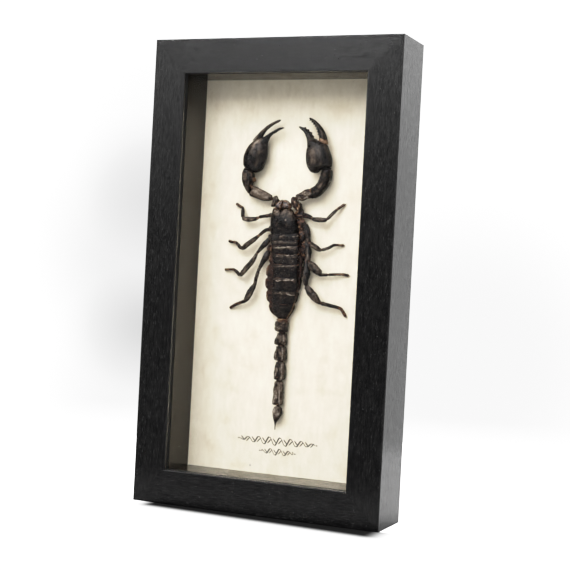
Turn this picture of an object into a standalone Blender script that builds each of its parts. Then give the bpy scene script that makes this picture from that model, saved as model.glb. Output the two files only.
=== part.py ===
"""Framed scorpion specimen: a deep black wooden box frame with a dried scorpion behind glass.

The frame stands upright on its bottom rail. X runs to the viewer's right, Y runs from the glass
into the frame, Z is up, and the origin is the middle of the frame's underside.
Every size here is in millimetres, and MM turns it into metres.
"""

import math

import bmesh
import bpy
import numpy as np
from mathutils import Vector

MM = 0.001

# The frame
FRAME_WIDTH = 143.0
FRAME_HEIGHT = 254.0
FRAME_DEPTH = 34.0
RAIL_FACE = 18.8  # width of a rail, seen from the front
LIP_DEPTH = 4.2  # wood in front of the glass
REBATE_WIDTH = 5.0  # how far the lip overhangs the rebate
EDGE_ROUND = 0.55
MITRE_GAP = 0.04
LOOSE_FIT = 0.3  # room between the rebate's wall and what lies in it
LAYER_GAP = 0.1

# What lies in the rebate, as depths from the front face
GLASS_FRONT = LIP_DEPTH + 0.3
GLASS_THICKNESS = 2.0
GLASS_EDGE = 0.2
PAPER_DEPTH = 29.5
MOUNT_THICKNESS = 1.5
BACKING_THICKNESS = 1.2
SPACER_SETBACK = 0.5  # how far the spacers stand back from the lip's edge

# The steel tabs behind the backing board
TAB_WIDTH = 9.0
TAB_LENGTH = 13.0
TAB_BURIED = 4.0
TAB_THICKNESS = 0.5
TAB_SLOT_ROOM = 0.1

# The toothed hanger, and the two nails that hold it
HANGER_LENGTH = 40.0
HANGER_HEIGHT = 8.5
HANGER_THICKNESS = 0.8
HANGER_TEETH = 11
TOOTH_DEPTH = 1.3
TOOTHED_LENGTH = 24.0
HANGER_CORNER = 1.0
NAIL_SPACING = 34.0
NAIL_SHANK = 0.7
NAIL_HEAD = 1.9
NAIL_HEAD_THICKNESS = 0.7
NAIL_LENGTH = 8.0
NAIL_TIP = 1.2  # length of the nail's point
BORE_ROOM = 0.15
ROUND_SIDES = 14  # sides of the nails and their holes

FRONT_Y = -FRAME_DEPTH / 2
BACK_Y = FRAME_DEPTH / 2
PAPER_Y = FRONT_Y + PAPER_DEPTH
BACKING_Y = PAPER_Y + MOUNT_THICKNESS + LAYER_GAP
TAB_Y = BACKING_Y + BACKING_THICKNESS + LAYER_GAP
REBATE_WALL = RAIL_FACE - REBATE_WIDTH  # from the frame's outside to the rebate's wall
HANGER_Z = FRAME_HEIGHT - REBATE_WALL / 2

PARTS = "framed_scorpion"
HELPERS = "cutters"

# The specimen. Heights are measured up from the paper towards the glass.
# A leg is a line of points (x, z, height, radius), from the body to the claw at its tip.
LEGS = {
    "leg_left_1": [
        (-8.2, 161.0, 2.4, 1.2), (-10.4, 160.5, 2.9, 0.95), (-14.0, 159.7, 3.9, 0.85),
        (-15.3, 159.2, 4.1, 0.75), (-17.5, 158.4, 4.3, 1.05), (-21.0, 158.0, 4.6, 1.35),
        (-23.7, 158.2, 4.5, 1.1), (-24.7, 159.2, 4.3, 0.95), (-25.6, 161.8, 3.2, 0.95),
        (-26.1, 164.0, 2.2, 0.7), (-28.6, 165.4, 1.5, 0.65), (-30.9, 166.7, 0.85, 0.6),
    ],
    "leg_left_2": [
        (-8.2, 153.1, 2.4, 1.2), (-10.6, 152.7, 2.9, 0.95), (-13.4, 150.5, 3.8, 0.85),
        (-14.6, 149.4, 4.0, 0.75), (-17.3, 147.0, 4.4, 1.2), (-21.2, 144.1, 4.7, 1.35),
        (-23.9, 142.1, 4.5, 1.05), (-25.0, 142.1, 4.2, 0.85), (-27.3, 143.7, 3.2, 0.85),
        (-29.6, 145.1, 2.2, 0.65), (-32.0, 145.2, 1.4, 0.62), (-34.4, 145.9, 0.85, 0.6),
    ],
    "leg_left_3": [
        (-8.9, 147.8, 2.2, 1.05), (-10.9, 145.2, 3.0, 1.4), (-13.3, 142.2, 3.7, 1.0),
        (-15.3, 139.5, 4.0, 0.7), (-16.3, 137.4, 4.2, 0.9), (-18.1, 134.5, 4.5, 1.35),
        (-21.3, 130.6, 4.7, 1.4), (-24.0, 127.5, 4.5, 1.1), (-24.9, 127.1, 4.2, 0.85),
        (-27.3, 128.7, 3.2, 0.85), (-30.2, 130.0, 2.2, 0.65), (-33.0, 129.8, 1.4, 0.55),
        (-35.8, 129.6, 0.85, 0.6),
    ],
    "leg_left_4": [
        (-9.0, 141.2, 2.2, 1.1), (-10.4, 137.6, 3.0, 1.6), (-12.4, 133.6, 3.6, 1.05),
        (-14.0, 129.6, 4.0, 0.8), (-15.0, 125.6, 4.2, 0.95), (-15.6, 122.3, 4.3, 0.95),
        (-16.6, 120.4, 4.5, 1.4), (-18.3, 117.2, 4.7, 1.65), (-20.1, 113.9, 4.5, 1.3),
        (-21.1, 112.8, 4.2, 0.9), (-24.0, 111.8, 3.2, 0.85), (-27.2, 110.6, 2.2, 0.75),
        (-29.6, 109.5, 1.4, 0.68), (-31.5, 108.3, 0.85, 0.62),
    ],
    "leg_right_1": [
        (9.6, 161.5, 2.6, 1.25), (12.4, 161.2, 3.2, 1.2), (15.0, 160.4, 3.8, 1.1),
        (16.4, 159.7, 4.0, 0.8), (18.6, 159.2, 4.4, 1.15), (21.5, 159.1, 4.6, 1.3),
        (24.0, 159.2, 4.5, 1.05), (25.1, 159.7, 4.3, 0.8), (27.4, 162.3, 3.3, 0.85),
        (30.1, 165.3, 2.2, 0.65), (31.9, 166.8, 1.5, 0.62), (33.7, 168.1, 0.85, 0.6),
    ],
    "leg_right_2": [
        (10.3, 155.9, 2.6, 1.3), (12.8, 155.0, 3.8, 1.6), (14.4, 152.0, 4.8, 1.6),
        (15.3, 148.6, 5.3, 1.2), (16.1, 146.5, 5.4, 0.95), (17.6, 145.4, 5.3, 1.3),
        (20.1, 144.0, 5.0, 1.3), (21.8, 142.9, 4.5, 0.95), (23.0, 143.0, 4.2, 0.8),
        (26.3, 144.1, 3.3, 0.8), (30.2, 146.0, 2.2, 0.65), (32.3, 146.0, 1.5, 0.55),
        (34.4, 145.9, 0.85, 0.6),
    ],
    "leg_right_3": [
        (12.0, 148.7, 2.2, 1.0), (14.1, 145.0, 2.8, 1.5), (15.4, 141.0, 4.1, 1.6),
        (15.8, 138.0, 5.1, 1.2), (16.4, 136.3, 5.5, 1.0), (17.9, 134.5, 5.4, 1.75),
        (20.0, 132.6, 5.2, 1.95), (22.3, 130.6, 4.8, 1.55), (23.6, 129.5, 4.4, 0.9),
        (27.2, 129.7, 3.4, 0.65), (31.0, 130.1, 2.4, 0.65), (34.2, 130.3, 1.8, 0.6),
        (36.2, 130.1, 1.2, 0.6), (38.0, 129.9, 0.85, 0.6),
    ],
    "leg_right_4": [
        (13.3, 139.0, 2.0, 0.95), (14.0, 135.0, 2.7, 1.4), (14.9, 130.5, 3.6, 1.6),
        (15.1, 126.0, 4.0, 1.4), (15.1, 123.2, 4.1, 1.05), (16.2, 121.7, 4.4, 1.6),
        (18.2, 119.4, 4.7, 2.05), (20.8, 116.9, 4.7, 1.95), (22.8, 114.9, 4.5, 1.2),
        (24.2, 114.3, 4.2, 0.95), (29.0, 113.2, 3.2, 0.95), (34.7, 111.9, 2.1, 0.8),
        (36.3, 109.8, 1.4, 0.7), (37.6, 107.6, 0.85, 0.62),
    ],
}

# A limb is a row of stations: its two edges (x, z, x, z) as seen from the front, the height of
# its middle, and half its thickness.
ARMS = {
    "arm_base_left": [
        (-5.3, 171.8, -6.8, 171.0, 4.2, 1.0), (-4.6, 170.6, -7.2, 169.1, 4.2, 1.9),
        (-4.0, 168.8, -7.6, 167.3, 4.2, 2.2), (-4.6, 167.0, -8.0, 165.8, 4.1, 2.1),
        (-5.3, 166.1, -7.5, 165.5, 3.9, 1.6),
    ],
    "arm_upper_left": [
        (-7.9, 171.3, -8.5, 168.5, 4.2, 1.7), (-11.4, 173.5, -12.0, 168.5, 4.4, 2.2),
        (-15.2, 175.1, -15.8, 169.4, 4.6, 2.5), (-18.4, 176.2, -19.3, 170.5, 4.7, 2.6),
        (-19.7, 175.8, -20.5, 171.1, 4.7, 2.1),
    ],
    "arm_lower_left": [
        (-21.4, 171.7, -20.2, 175.8, 4.7, 2.2), (-23.1, 173.8, -20.1, 176.9, 4.8, 2.7),
        (-24.8, 176.5, -19.7, 178.4, 4.9, 3.0), (-25.9, 179.6, -19.0, 180.4, 5.0, 3.3),
        (-26.0, 182.5, -19.5, 182.7, 5.0, 3.1), (-25.5, 185.4, -21.7, 184.2, 5.0, 2.4),
    ],
    "hand_left": [
        (-20.8, 184.2, -17.6, 183.6, 5.0, 1.6), (-24.4, 186.2, -14.7, 185.2, 5.0, 3.5),
        (-25.6, 188.7, -13.0, 188.0, 5.1, 4.3), (-25.5, 191.8, -11.8, 191.8, 5.3, 4.7),
        (-24.7, 194.8, -11.3, 195.2, 5.3, 4.6), (-23.4, 197.5, -11.4, 198.2, 5.2, 4.1),
        (-21.8, 199.6, -11.6, 200.2, 5.1, 3.4), (-19.2, 201.4, -11.3, 201.6, 5.0, 2.7),
        (-15.6, 203.0, -10.9, 202.9, 4.9, 2.0), (-12.4, 204.9, -10.2, 204.0, 4.8, 1.3),
        (-8.6, 207.1, -7.9, 205.7, 4.7, 0.9), (-5.3, 208.5, -4.9, 207.4, 4.6, 0.6),
        (-2.6, 209.0, -2.5, 208.6, 4.5, 0.25),
    ],
    "finger_left": [
        (-21.2, 200.8, -15.9, 203.5, 5.0, 1.9), (-19.5, 203.0, -15.0, 204.4, 5.0, 1.9),
        (-17.5, 205.5, -14.2, 205.9, 4.9, 1.6), (-15.3, 207.7, -13.0, 207.3, 4.8, 1.3),
        (-12.9, 209.7, -11.3, 208.7, 4.7, 1.0), (-9.9, 211.5, -9.0, 210.3, 4.6, 0.8),
        (-7.2, 212.7, -6.8, 211.6, 4.5, 0.55), (-4.9, 213.2, -4.8, 212.6, 4.4, 0.3),
    ],
    "arm_base_right": [
        (5.1, 171.6, 6.9, 169.3, 4.0, 1.6), (3.8, 170.0, 8.3, 168.0, 4.0, 2.4),
        (3.8, 167.8, 9.7, 166.7, 4.0, 2.6), (4.8, 165.9, 10.0, 165.2, 3.7, 2.5),
        (6.4, 164.2, 10.1, 163.9, 3.3, 2.0), (7.5, 163.3, 9.6, 163.2, 3.0, 1.4),
    ],
    "arm_upper_right": [
        (5.8, 171.9, 7.5, 169.2, 4.2, 1.5), (9.2, 173.6, 10.2, 169.0, 4.4, 2.0),
        (12.6, 175.4, 13.4, 170.2, 4.6, 2.4), (14.7, 175.6, 16.4, 170.8, 4.7, 2.3),
    ],
    "arm_lower_right": [
        (15.3, 176.0, 17.2, 170.6, 4.7, 2.2), (17.0, 176.9, 20.5, 172.2, 4.8, 2.7),
        (18.6, 178.4, 23.5, 175.2, 4.9, 3.1), (19.9, 180.6, 25.9, 179.2, 5.0, 3.4),
        (20.5, 182.9, 26.9, 182.9, 5.0, 3.3), (21.4, 185.4, 26.7, 186.0, 5.0, 2.8),
    ],
    "hand_right": [
        (15.2, 184.2, 18.2, 184.0, 5.0, 1.6), (13.6, 185.8, 20.0, 185.8, 5.0, 3.3),
        (12.9, 187.2, 21.4, 187.2, 5.1, 4.1), (12.4, 188.6, 26.5, 188.1, 5.2, 4.5),
        (11.7, 191.4, 26.8, 190.8, 5.3, 4.8), (11.6, 194.2, 25.9, 194.2, 5.3, 4.7),
        (11.9, 197.0, 24.6, 197.0, 5.2, 4.3), (12.0, 199.2, 23.5, 199.4, 5.1, 3.7),
        (11.8, 201.2, 18.6, 201.6, 5.0, 2.9), (11.3, 203.1, 15.3, 203.1, 4.9, 2.0),
        (10.1, 205.0, 13.4, 205.8, 4.8, 1.4), (8.8, 206.5, 11.0, 207.6, 4.7, 1.1),
        (7.2, 207.9, 8.5, 208.9, 4.6, 0.7), (5.8, 209.1, 6.2, 209.6, 4.5, 0.3),
    ],
    "finger_right": [
        (18.7, 202.2, 23.7, 200.2, 5.0, 2.3), (18.5, 203.6, 23.1, 202.5, 5.0, 2.2),
        (18.1, 205.4, 22.2, 205.2, 4.9, 2.0), (17.3, 207.4, 20.7, 207.7, 4.8, 1.7),
        (16.3, 209.3, 19.0, 209.8, 4.7, 1.4), (14.8, 211.2, 16.7, 211.9, 4.6, 1.0),
        (13.2, 212.7, 14.3, 213.4, 4.5, 0.65), (11.6, 213.9, 11.9, 214.4, 4.4, 0.3),
    ],
}
JAWS = {
    "chelicera_left": [
        (-4.3, 165.5, -1.0, 165.5, 4.8, 2.0), (-3.9, 167.0, -0.9, 167.0, 4.9, 2.0),
        (-3.0, 168.5, -1.1, 168.6, 4.7, 1.3), (-2.4, 169.4, -1.4, 169.4, 4.5, 0.6),
    ],
    "chelicera_right": [
        (-0.7, 165.5, 3.5, 165.5, 4.8, 2.0), (-0.6, 167.0, 3.2, 167.0, 4.9, 2.0),
        (-0.5, 168.5, 2.2, 168.4, 4.7, 1.3), (-0.2, 169.4, 1.1, 169.3, 4.5, 0.6),
    ],
}
# A tail segment's stations: (z, left, right, half thickness), about one height.
TAIL_HEIGHT = 3.0
TAIL = {
    "tail_1": [
        (104.0, -0.9, 4.2, 1.7), (103.2, -2.2, 4.8, 2.3), (100.5, -2.4, 4.9, 2.5),
        (98.2, -2.3, 4.9, 2.5), (97.3, -1.2, 4.6, 2.0), (96.9, -0.4, 4.2, 1.5),
    ],
    "tail_2": [
        (96.7, -0.5, 4.1, 1.5), (95.2, -0.9, 4.5, 1.9), (92.5, -2.0, 4.9, 2.5),
        (90.7, -2.3, 4.8, 2.4), (89.9, -1.2, 4.3, 1.9), (89.8, -0.7, 4.0, 1.5),
    ],
    "tail_3": [
        (89.5, -0.7, 4.0, 1.5), (88.0, -1.0, 4.6, 2.0), (84.5, -1.9, 4.9, 2.4),
        (82.2, -1.8, 4.8, 2.4), (81.4, -0.9, 4.2, 1.9), (81.2, -0.5, 3.9, 1.5),
    ],
    "tail_4": [
        (80.9, -0.5, 3.8, 1.5), (79.0, -0.9, 4.5, 2.0), (75.0, -1.4, 4.8, 2.3),
        (72.0, -1.4, 4.7, 2.3), (70.9, -0.9, 4.1, 1.9), (70.6, -0.6, 3.7, 1.5),
    ],
    "tail_5": [
        (70.2, -0.7, 3.7, 1.5), (68.0, -1.0, 4.1, 2.0), (62.0, -1.3, 4.3, 2.1),
        (58.5, -1.4, 4.2, 2.2), (57.3, -1.4, 3.9, 1.9), (56.9, -0.5, 3.3, 1.4),
    ],
    "stinger": [
        (56.5, 0.4, 2.6, 1.1), (55.5, -0.8, 3.9, 1.9), (53.5, -1.4, 4.4, 2.3),
        (51.4, -1.1, 3.7, 2.0), (49.8, -0.5, 2.2, 1.3), (48.6, 0.0, 1.1, 0.7),
        (46.4, 0.15, 0.75, 0.4), (43.6, 0.3, 0.55, 0.2),
    ],
}
# The carapace's stations: (z, left, right, height of the crown), over one height of the rim.
RIM_HEIGHT = 4.2
CARAPACE_FLOOR = 0.8  # width of its underside, as a share of the shield's
CARAPACE = [
    (165.0, -6.0, 3.1, 5.7), (164.3, -6.7, 4.2, 6.6), (162.5, -7.2, 5.6, 7.4),
    (159.5, -7.6, 7.3, 8.1), (156.0, -7.8, 8.6, 8.6), (153.0, -7.7, 9.1, 8.6),
    (151.0, -7.4, 9.1, 8.1),
]
NOTCH_DEPTH = 1.3  # the bay in the middle of the carapace's front edge
NOTCH_WIDTH = 1.6
EYE_MOUND = (-1.0, 156.8, 8.3)  # x, z and height of the mound that bears the middle eyes
EYE_MOUND_SIZE = (1.3, 2.2, 0.9)
# The abdomen's back plates end at these places, from the carapace to the tail.
PLATE_ENDS = (150.6, 147.2, 144.4, 139.8, 134.2, 126.9, 119.8, 112.6, 104.4)
PLATE_STEP = 0.35  # how far each plate's rear edge stands over the next
# Stations (z, plate left, plate right, belly left, belly right, crown).
ABDOMEN = [
    (150.6, -6.9, 9.2, -7.2, 9.6, 7.9), (147.2, -6.9, 9.8, -7.6, 10.3, 8.1),
    (144.4, -6.7, 10.1, -7.8, 10.9, 8.2), (139.8, -6.0, 10.5, -7.9, 11.4, 8.3),
    (134.2, -5.1, 10.9, -8.6, 11.8, 8.4), (130.0, -4.6, 11.1, -9.4, 11.9, 8.5),
    (123.4, -4.5, 11.2, -9.7, 11.2, 8.4), (119.8, -4.6, 11.1, -9.1, 10.6, 8.1),
    (115.0, -4.7, 9.9, -8.6, 9.4, 7.5), (112.0, -4.3, 8.8, -7.5, 8.5, 7.0),
    (109.0, -3.8, 7.5, -6.6, 7.4, 6.3), (107.0, -3.0, 6.3, -5.2, 6.2, 5.7),
    (105.2, -1.4, 4.8, -2.6, 5.0, 5.1), (104.4, -0.9, 4.3, -1.6, 4.4, 4.6),
]
PLATE_DROP = 0.3  # length over which a plate's rear edge drops to the next
BELLY_PINCH = 0.8  # how far the soft belly is drawn in where two plates meet
PINCH_LENGTH = 1.2
SHOULDER = 0.66  # height of a plate's side edges, as a share of the crown's
FOOT = 0.4  # how far the glued-down body stands off the paper's face

FINISHES = {
    # name: (colour, roughness, metallic)
    "black_wood": ((0.016, 0.016, 0.017), 0.42, 0.0),
    "clear_glass": ((0.95, 0.97, 0.96), 0.02, 0.0),
    "spacer_card": ((0.020, 0.017, 0.014), 0.6, 0.0),
    "cream_paper": ((0.86, 0.81, 0.70), 0.85, 0.0),
    "back_board": ((0.24, 0.17, 0.11), 0.85, 0.0),
    "tab_steel": ((0.55, 0.55, 0.54), 0.38, 1.0),
    "hanger_brass": ((0.60, 0.47, 0.24), 0.35, 1.0),
    "shell_black": ((0.030, 0.027, 0.025), 0.38, 0.0),
    "shell_brown": ((0.055, 0.036, 0.026), 0.45, 0.0),
}


def clear_scene():
    for item in list(bpy.data.objects):
        bpy.data.objects.remove(item, do_unlink=True)
    for group in list(bpy.data.collections):
        bpy.data.collections.remove(group)
    for name in (PARTS, HELPERS):
        bpy.context.scene.collection.children.link(bpy.data.collections.new(name))


def finish(name):
    """The named finish as a Principled material, made the first time it is asked for."""
    found = bpy.data.materials.get(name)
    if found:
        return found
    colour, roughness, metallic = FINISHES[name]
    material = bpy.data.materials.new(name)
    material.use_nodes = True
    shader = material.node_tree.nodes["Principled BSDF"]
    shader.inputs["Base Color"].default_value = (*colour, 1.0)
    shader.inputs["Roughness"].default_value = roughness
    shader.inputs["Metallic"].default_value = metallic
    material.diffuse_color = (*colour, 1.0)
    return material


def add_part(name, data, finish_name):
    """Puts a mesh or a curve into the object's collection, with its own material."""
    data.name = name
    part = bpy.data.objects.new(name, data)
    data.materials.append(finish(finish_name))
    bpy.data.collections[PARTS].objects.link(part)
    return part


def add_helper(name, data):
    helper = bpy.data.objects.new(name, data)
    helper.hide_render = True
    helper.display_type = "WIRE"
    bpy.data.collections[HELPERS].objects.link(helper)
    return helper


def cut(part, cutter, operation="DIFFERENCE"):
    modifier = part.modifiers.new(cutter.name, "BOOLEAN")
    modifier.operation = operation
    modifier.solver = "EXACT"
    modifier.object = cutter


def box_mesh(low, high):
    """A box between two corners, given in millimetres."""
    low, high = Vector(low), Vector(high)
    middle, size = (low + high) / 2, high - low
    mesh = bpy.data.meshes.new("box")
    shape = bmesh.new()
    made = bmesh.ops.create_cube(shape, size=1.0)
    for vertex in made["verts"]:
        corner = Vector(a * b for a, b in zip(vertex.co, size))
        vertex.co = (corner + middle) * MM
    shape.to_mesh(mesh)
    shape.free()
    return mesh


def add_box(name, low, high, finish_name, edge=0.0):
    part = add_part(name, box_mesh(low, high), finish_name)
    if edge:
        bevel = part.modifiers.new("edges", "BEVEL")
        bevel.width = edge * MM
        bevel.segments = 1
    return part


def add_rail(name, length, frame_across, turn):
    """One mitred stick, made along X at the bottom and turned about the frame's middle.

    frame_across is the frame's size across the stick.
    """
    wall_y = FRONT_Y + LIP_DEPTH
    corners = [
        (0.0, FRONT_Y), (RAIL_FACE, FRONT_Y), (RAIL_FACE, wall_y),
        (REBATE_WALL, wall_y), (REBATE_WALL, BACK_Y), (0.0, BACK_Y),
    ]
    rounded = {corners[0], corners[1], corners[5]}
    shape = bmesh.new()
    weight = shape.edges.layers.float.new("bevel_weight_edge")
    ends = []
    for side in (-1, 1):
        ring = []
        for up, y in corners:
            reach = length / 2 - up - MITRE_GAP
            ring.append(shape.verts.new((side * reach * MM, y * MM, (up - frame_across / 2) * MM)))
        ends.append(ring)
        shape.faces.new(ring)
    for k, corner in enumerate(corners):
        after = (k + 1) % len(corners)
        shape.faces.new((ends[0][k], ends[0][after], ends[1][after], ends[1][k]))
        edge = shape.edges.get((ends[0][k], ends[1][k]))
        edge[weight] = 1.0 if corner in rounded else 0.0
    bmesh.ops.recalc_face_normals(shape, faces=shape.faces[:])
    mesh = bpy.data.meshes.new(name)
    shape.to_mesh(mesh)
    shape.free()
    rail = add_part(name, mesh, "black_wood")
    rail.location = (0.0, 0.0, FRAME_HEIGHT / 2 * MM)
    rail.rotation_euler = (0.0, turn, 0.0)
    bevel = rail.modifiers.new("rounded edges", "BEVEL")
    bevel.limit_method = "WEIGHT"
    bevel.width = EDGE_ROUND * MM
    bevel.segments = 3
    return rail


def add_rails():
    return {
        "bottom": add_rail("rail_bottom", FRAME_WIDTH, FRAME_HEIGHT, 0.0),
        "top": add_rail("rail_top", FRAME_WIDTH, FRAME_HEIGHT, math.pi),
        "left": add_rail("rail_left", FRAME_HEIGHT, FRAME_WIDTH, math.pi / 2),
        "right": add_rail("rail_right", FRAME_HEIGHT, FRAME_WIDTH, -math.pi / 2),
    }


def add_layers():
    """The glass, the spacers, the mount board and the backing board, front to back."""
    inner_x = FRAME_WIDTH / 2 - REBATE_WALL - LOOSE_FIT
    low_z = REBATE_WALL + LOOSE_FIT
    high_z = FRAME_HEIGHT - low_z
    glass_y = FRONT_Y + GLASS_FRONT
    glass_back = glass_y + GLASS_THICKNESS
    add_box("glass", (-inner_x, glass_y, low_z), (inner_x, glass_back, high_z), "clear_glass", GLASS_EDGE)

    near, far = glass_back + LAYER_GAP, PAPER_Y - LAYER_GAP
    strip = RAIL_FACE - SPACER_SETBACK - low_z  # the spacers' own thickness
    side_x = inner_x - strip
    add_box("spacer_left", (-inner_x, near, low_z), (-side_x, far, high_z), "spacer_card")
    add_box("spacer_right", (side_x, near, low_z), (inner_x, far, high_z), "spacer_card")
    end_x = side_x - LAYER_GAP
    add_box("spacer_bottom", (-end_x, near, low_z), (end_x, far, low_z + strip), "spacer_card")
    add_box("spacer_top", (-end_x, near, high_z - strip), (end_x, far, high_z), "spacer_card")

    mount_back = PAPER_Y + MOUNT_THICKNESS
    add_box("mount_board", (-inner_x, PAPER_Y, low_z), (inner_x, mount_back, high_z), "cream_paper")
    backing_back = BACKING_Y + BACKING_THICKNESS
    add_box("backing_board", (-inner_x, BACKING_Y, low_z), (inner_x, backing_back, high_z), "back_board")


def flat_curve(name, outlines, thickness):
    """Closed outlines in the XY plane, filled, with the inner ones left as holes."""
    curve = bpy.data.curves.new(name, "CURVE")
    curve.dimensions = "2D"
    curve.fill_mode = "BOTH"
    curve.extrude = thickness / 2 * MM
    for outline in outlines:
        spline = curve.splines.new("POLY")
        spline.points.add(len(outline) - 1)
        spline.use_cyclic_u = True
        for point, (x, y) in zip(spline.points, outline):
            point.co = (x * MM, y * MM, 0.0, 1.0)
    return curve


def add_tabs(rails):
    """Six flat steel tabs, each with its root in a slot in the rebate's wall."""
    half, shoulder = TAB_WIDTH / 2, TAB_LENGTH * 0.6
    outline = [(-half, 0.0), (half, 0.0), (half, shoulder), (0.0, TAB_LENGTH), (-half, shoulder)]
    root_x = FRAME_WIDTH / 2 - REBATE_WALL + TAB_BURIED
    root_z = REBATE_WALL - TAB_BURIED
    # (rail, root's x and z, the way the tab points)
    places = [
        ("left", -root_x, FRAME_HEIGHT * 0.27, (1, 0)),
        ("left", -root_x, FRAME_HEIGHT * 0.73, (1, 0)),
        ("right", root_x, FRAME_HEIGHT * 0.27, (-1, 0)),
        ("right", root_x, FRAME_HEIGHT * 0.73, (-1, 0)),
        ("bottom", 0.0, root_z, (0, 1)),
        ("top", 0.0, FRAME_HEIGHT - root_z, (0, -1)),
    ]
    room = TAB_SLOT_ROOM
    for number, (side, x, z, (way_x, way_z)) in enumerate(places, start=1):
        data = flat_curve(f"point_{number}", [outline], TAB_THICKNESS)
        tab = add_part(f"point_{number}", data, "tab_steel")
        tab.location = (x * MM, (TAB_Y + TAB_THICKNESS / 2) * MM, z * MM)
        tab.rotation_euler = (math.pi / 2, math.atan2(way_x, way_z), 0.0)

        # The slot runs from just behind the root to just inside the rebate.
        deep, shallow = -room, TAB_BURIED + 1.0
        side_x, side_z = abs(way_z) * (half + room), abs(way_x) * (half + room)
        ends_x = sorted((x + way_x * deep, x + way_x * shallow))
        ends_z = sorted((z + way_z * deep, z + way_z * shallow))
        low = (ends_x[0] - side_x, TAB_Y - room, ends_z[0] - side_z)
        high = (ends_x[1] + side_x, TAB_Y + TAB_THICKNESS + room, ends_z[1] + side_z)
        cut(rails[side], add_helper(f"slot_{number}", box_mesh(low, high)))


def circle(radius, x, y):
    turns = [2 * math.pi * k / ROUND_SIDES for k in range(ROUND_SIDES)]
    return [(x + radius * math.cos(t), y + radius * math.sin(t)) for t in turns]


def profile_mesh(name, profile):
    """A line of (radius, height) pairs from top to bottom, to be turned about Z."""
    mesh = bpy.data.meshes.new(name)
    points = [(radius * MM, 0.0, height * MM) for radius, height in profile]
    mesh.from_pydata(points, [(k, k + 1) for k in range(len(points) - 1)], [])
    return mesh


def turn_profile(thing):
    screw = thing.modifiers.new("turned", "SCREW")
    screw.axis = "Z"
    screw.steps = screw.render_steps = ROUND_SIDES
    screw.use_merge_vertices = True
    screw.merge_threshold = 0.00001


def add_hanger(rails):
    """The toothed strip on the top rail's back, and the nails through its two ends."""
    half, low, high = HANGER_LENGTH / 2, -HANGER_HEIGHT / 2, HANGER_HEIGHT / 2
    corner = HANGER_CORNER
    pitch = TOOTHED_LENGTH / HANGER_TEETH
    outline = [(half - corner, high), (corner - half, high), (-half, high - corner), (-half, low)]
    for tooth in range(HANGER_TEETH):
        left = -TOOTHED_LENGTH / 2 + tooth * pitch
        outline += [(left, low), (left + pitch / 2, low + TOOTH_DEPTH)]
    outline += [(TOOTHED_LENGTH / 2, low), (half, low), (half, high - corner)]
    nails_x = (-NAIL_SPACING / 2, NAIL_SPACING / 2)
    bore = NAIL_SHANK + BORE_ROOM
    outlines = [outline] + [circle(bore, x, 0.0) for x in nails_x]
    hanger = add_part("hanger", flat_curve("hanger", outlines, HANGER_THICKNESS), "hanger_brass")
    plate_y = BACK_Y + LAYER_GAP + HANGER_THICKNESS / 2
    hanger.location = (0.0, plate_y * MM, HANGER_Z * MM)
    hanger.rotation_euler = (math.pi / 2, 0.0, 0.0)

    head_y = plate_y + HANGER_THICKNESS / 2 + LAYER_GAP
    crown = NAIL_HEAD_THICKNESS
    nail_profile = [
        (0.0, crown), (NAIL_HEAD * 0.6, crown * 0.8), (NAIL_HEAD, crown * 0.25), (NAIL_HEAD, 0.0),
        (NAIL_SHANK, 0.0), (NAIL_SHANK, NAIL_TIP - NAIL_LENGTH), (0.0, -NAIL_LENGTH),
    ]
    deep = -NAIL_LENGTH - 2 * BORE_ROOM
    bore_profile = [(0.0, crown), (bore, crown), (bore, deep), (0.0, deep)]
    for side, x in zip(("left", "right"), nails_x):
        nail = add_part(f"nail_{side}", profile_mesh("nail", nail_profile), "hanger_brass")
        bore_cutter = add_helper(f"bore_{side}", profile_mesh("bore", bore_profile))
        for thing in (nail, bore_cutter):
            turn_profile(thing)
            thing.location = (x * MM, head_y * MM, HANGER_Z * MM)
            thing.rotation_euler = (-math.pi / 2, 0.0, 0.0)
        cut(rails["top"], bore_cutter)


def loft(name, rings, finish_name):
    """A closed skin over rings of equally many points (x, height above the paper, z)."""
    shape = bmesh.new()
    rows = []
    for ring in rings:
        rows.append([shape.verts.new((x * MM, (PAPER_Y - h) * MM, z * MM)) for x, h, z in ring])
    for row, after in zip(rows, rows[1:]):
        for k in range(len(row)):
            n = (k + 1) % len(row)
            shape.faces.new((row[k], row[n], after[n], after[k]))
    shape.faces.new(rows[0])
    shape.faces.new(rows[-1])
    bmesh.ops.recalc_face_normals(shape, faces=shape.faces[:])
    mesh = bpy.data.meshes.new(name)
    shape.to_mesh(mesh)
    shape.free()
    mesh.shade_smooth()
    mesh.set_sharp_from_angle(angle=math.radians(50))
    return add_part(name, mesh, finish_name)


def rounded_ring(left, right, height, thickness, sides, turn=0.0, square=2.0):
    """A ring from one edge point (x, z) to the other: an ellipse, or squarer above 2."""
    (ax, az), (bx, bz) = left, right
    angles = np.arange(sides) * 2 * math.pi / sides + turn
    across = np.sign(np.cos(angles)) * np.abs(np.cos(angles)) ** (2 / square)
    up = np.sign(np.sin(angles)) * np.abs(np.sin(angles)) ** (2 / square)
    xs = (ax + bx) / 2 + (bx - ax) / 2 * across
    zs = (az + bz) / 2 + (bz - az) / 2 * across
    return [tuple(point) for point in np.stack([xs, height + thickness * up, zs], axis=1).tolist()]


def add_limb(name, stations, finish_name, sides=10):
    rings = [
        rounded_ring((ax, az), (bx, bz), height, thickness, sides)
        for ax, az, bx, bz, height, thickness in stations
    ]
    loft(name, rings, finish_name)


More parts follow.
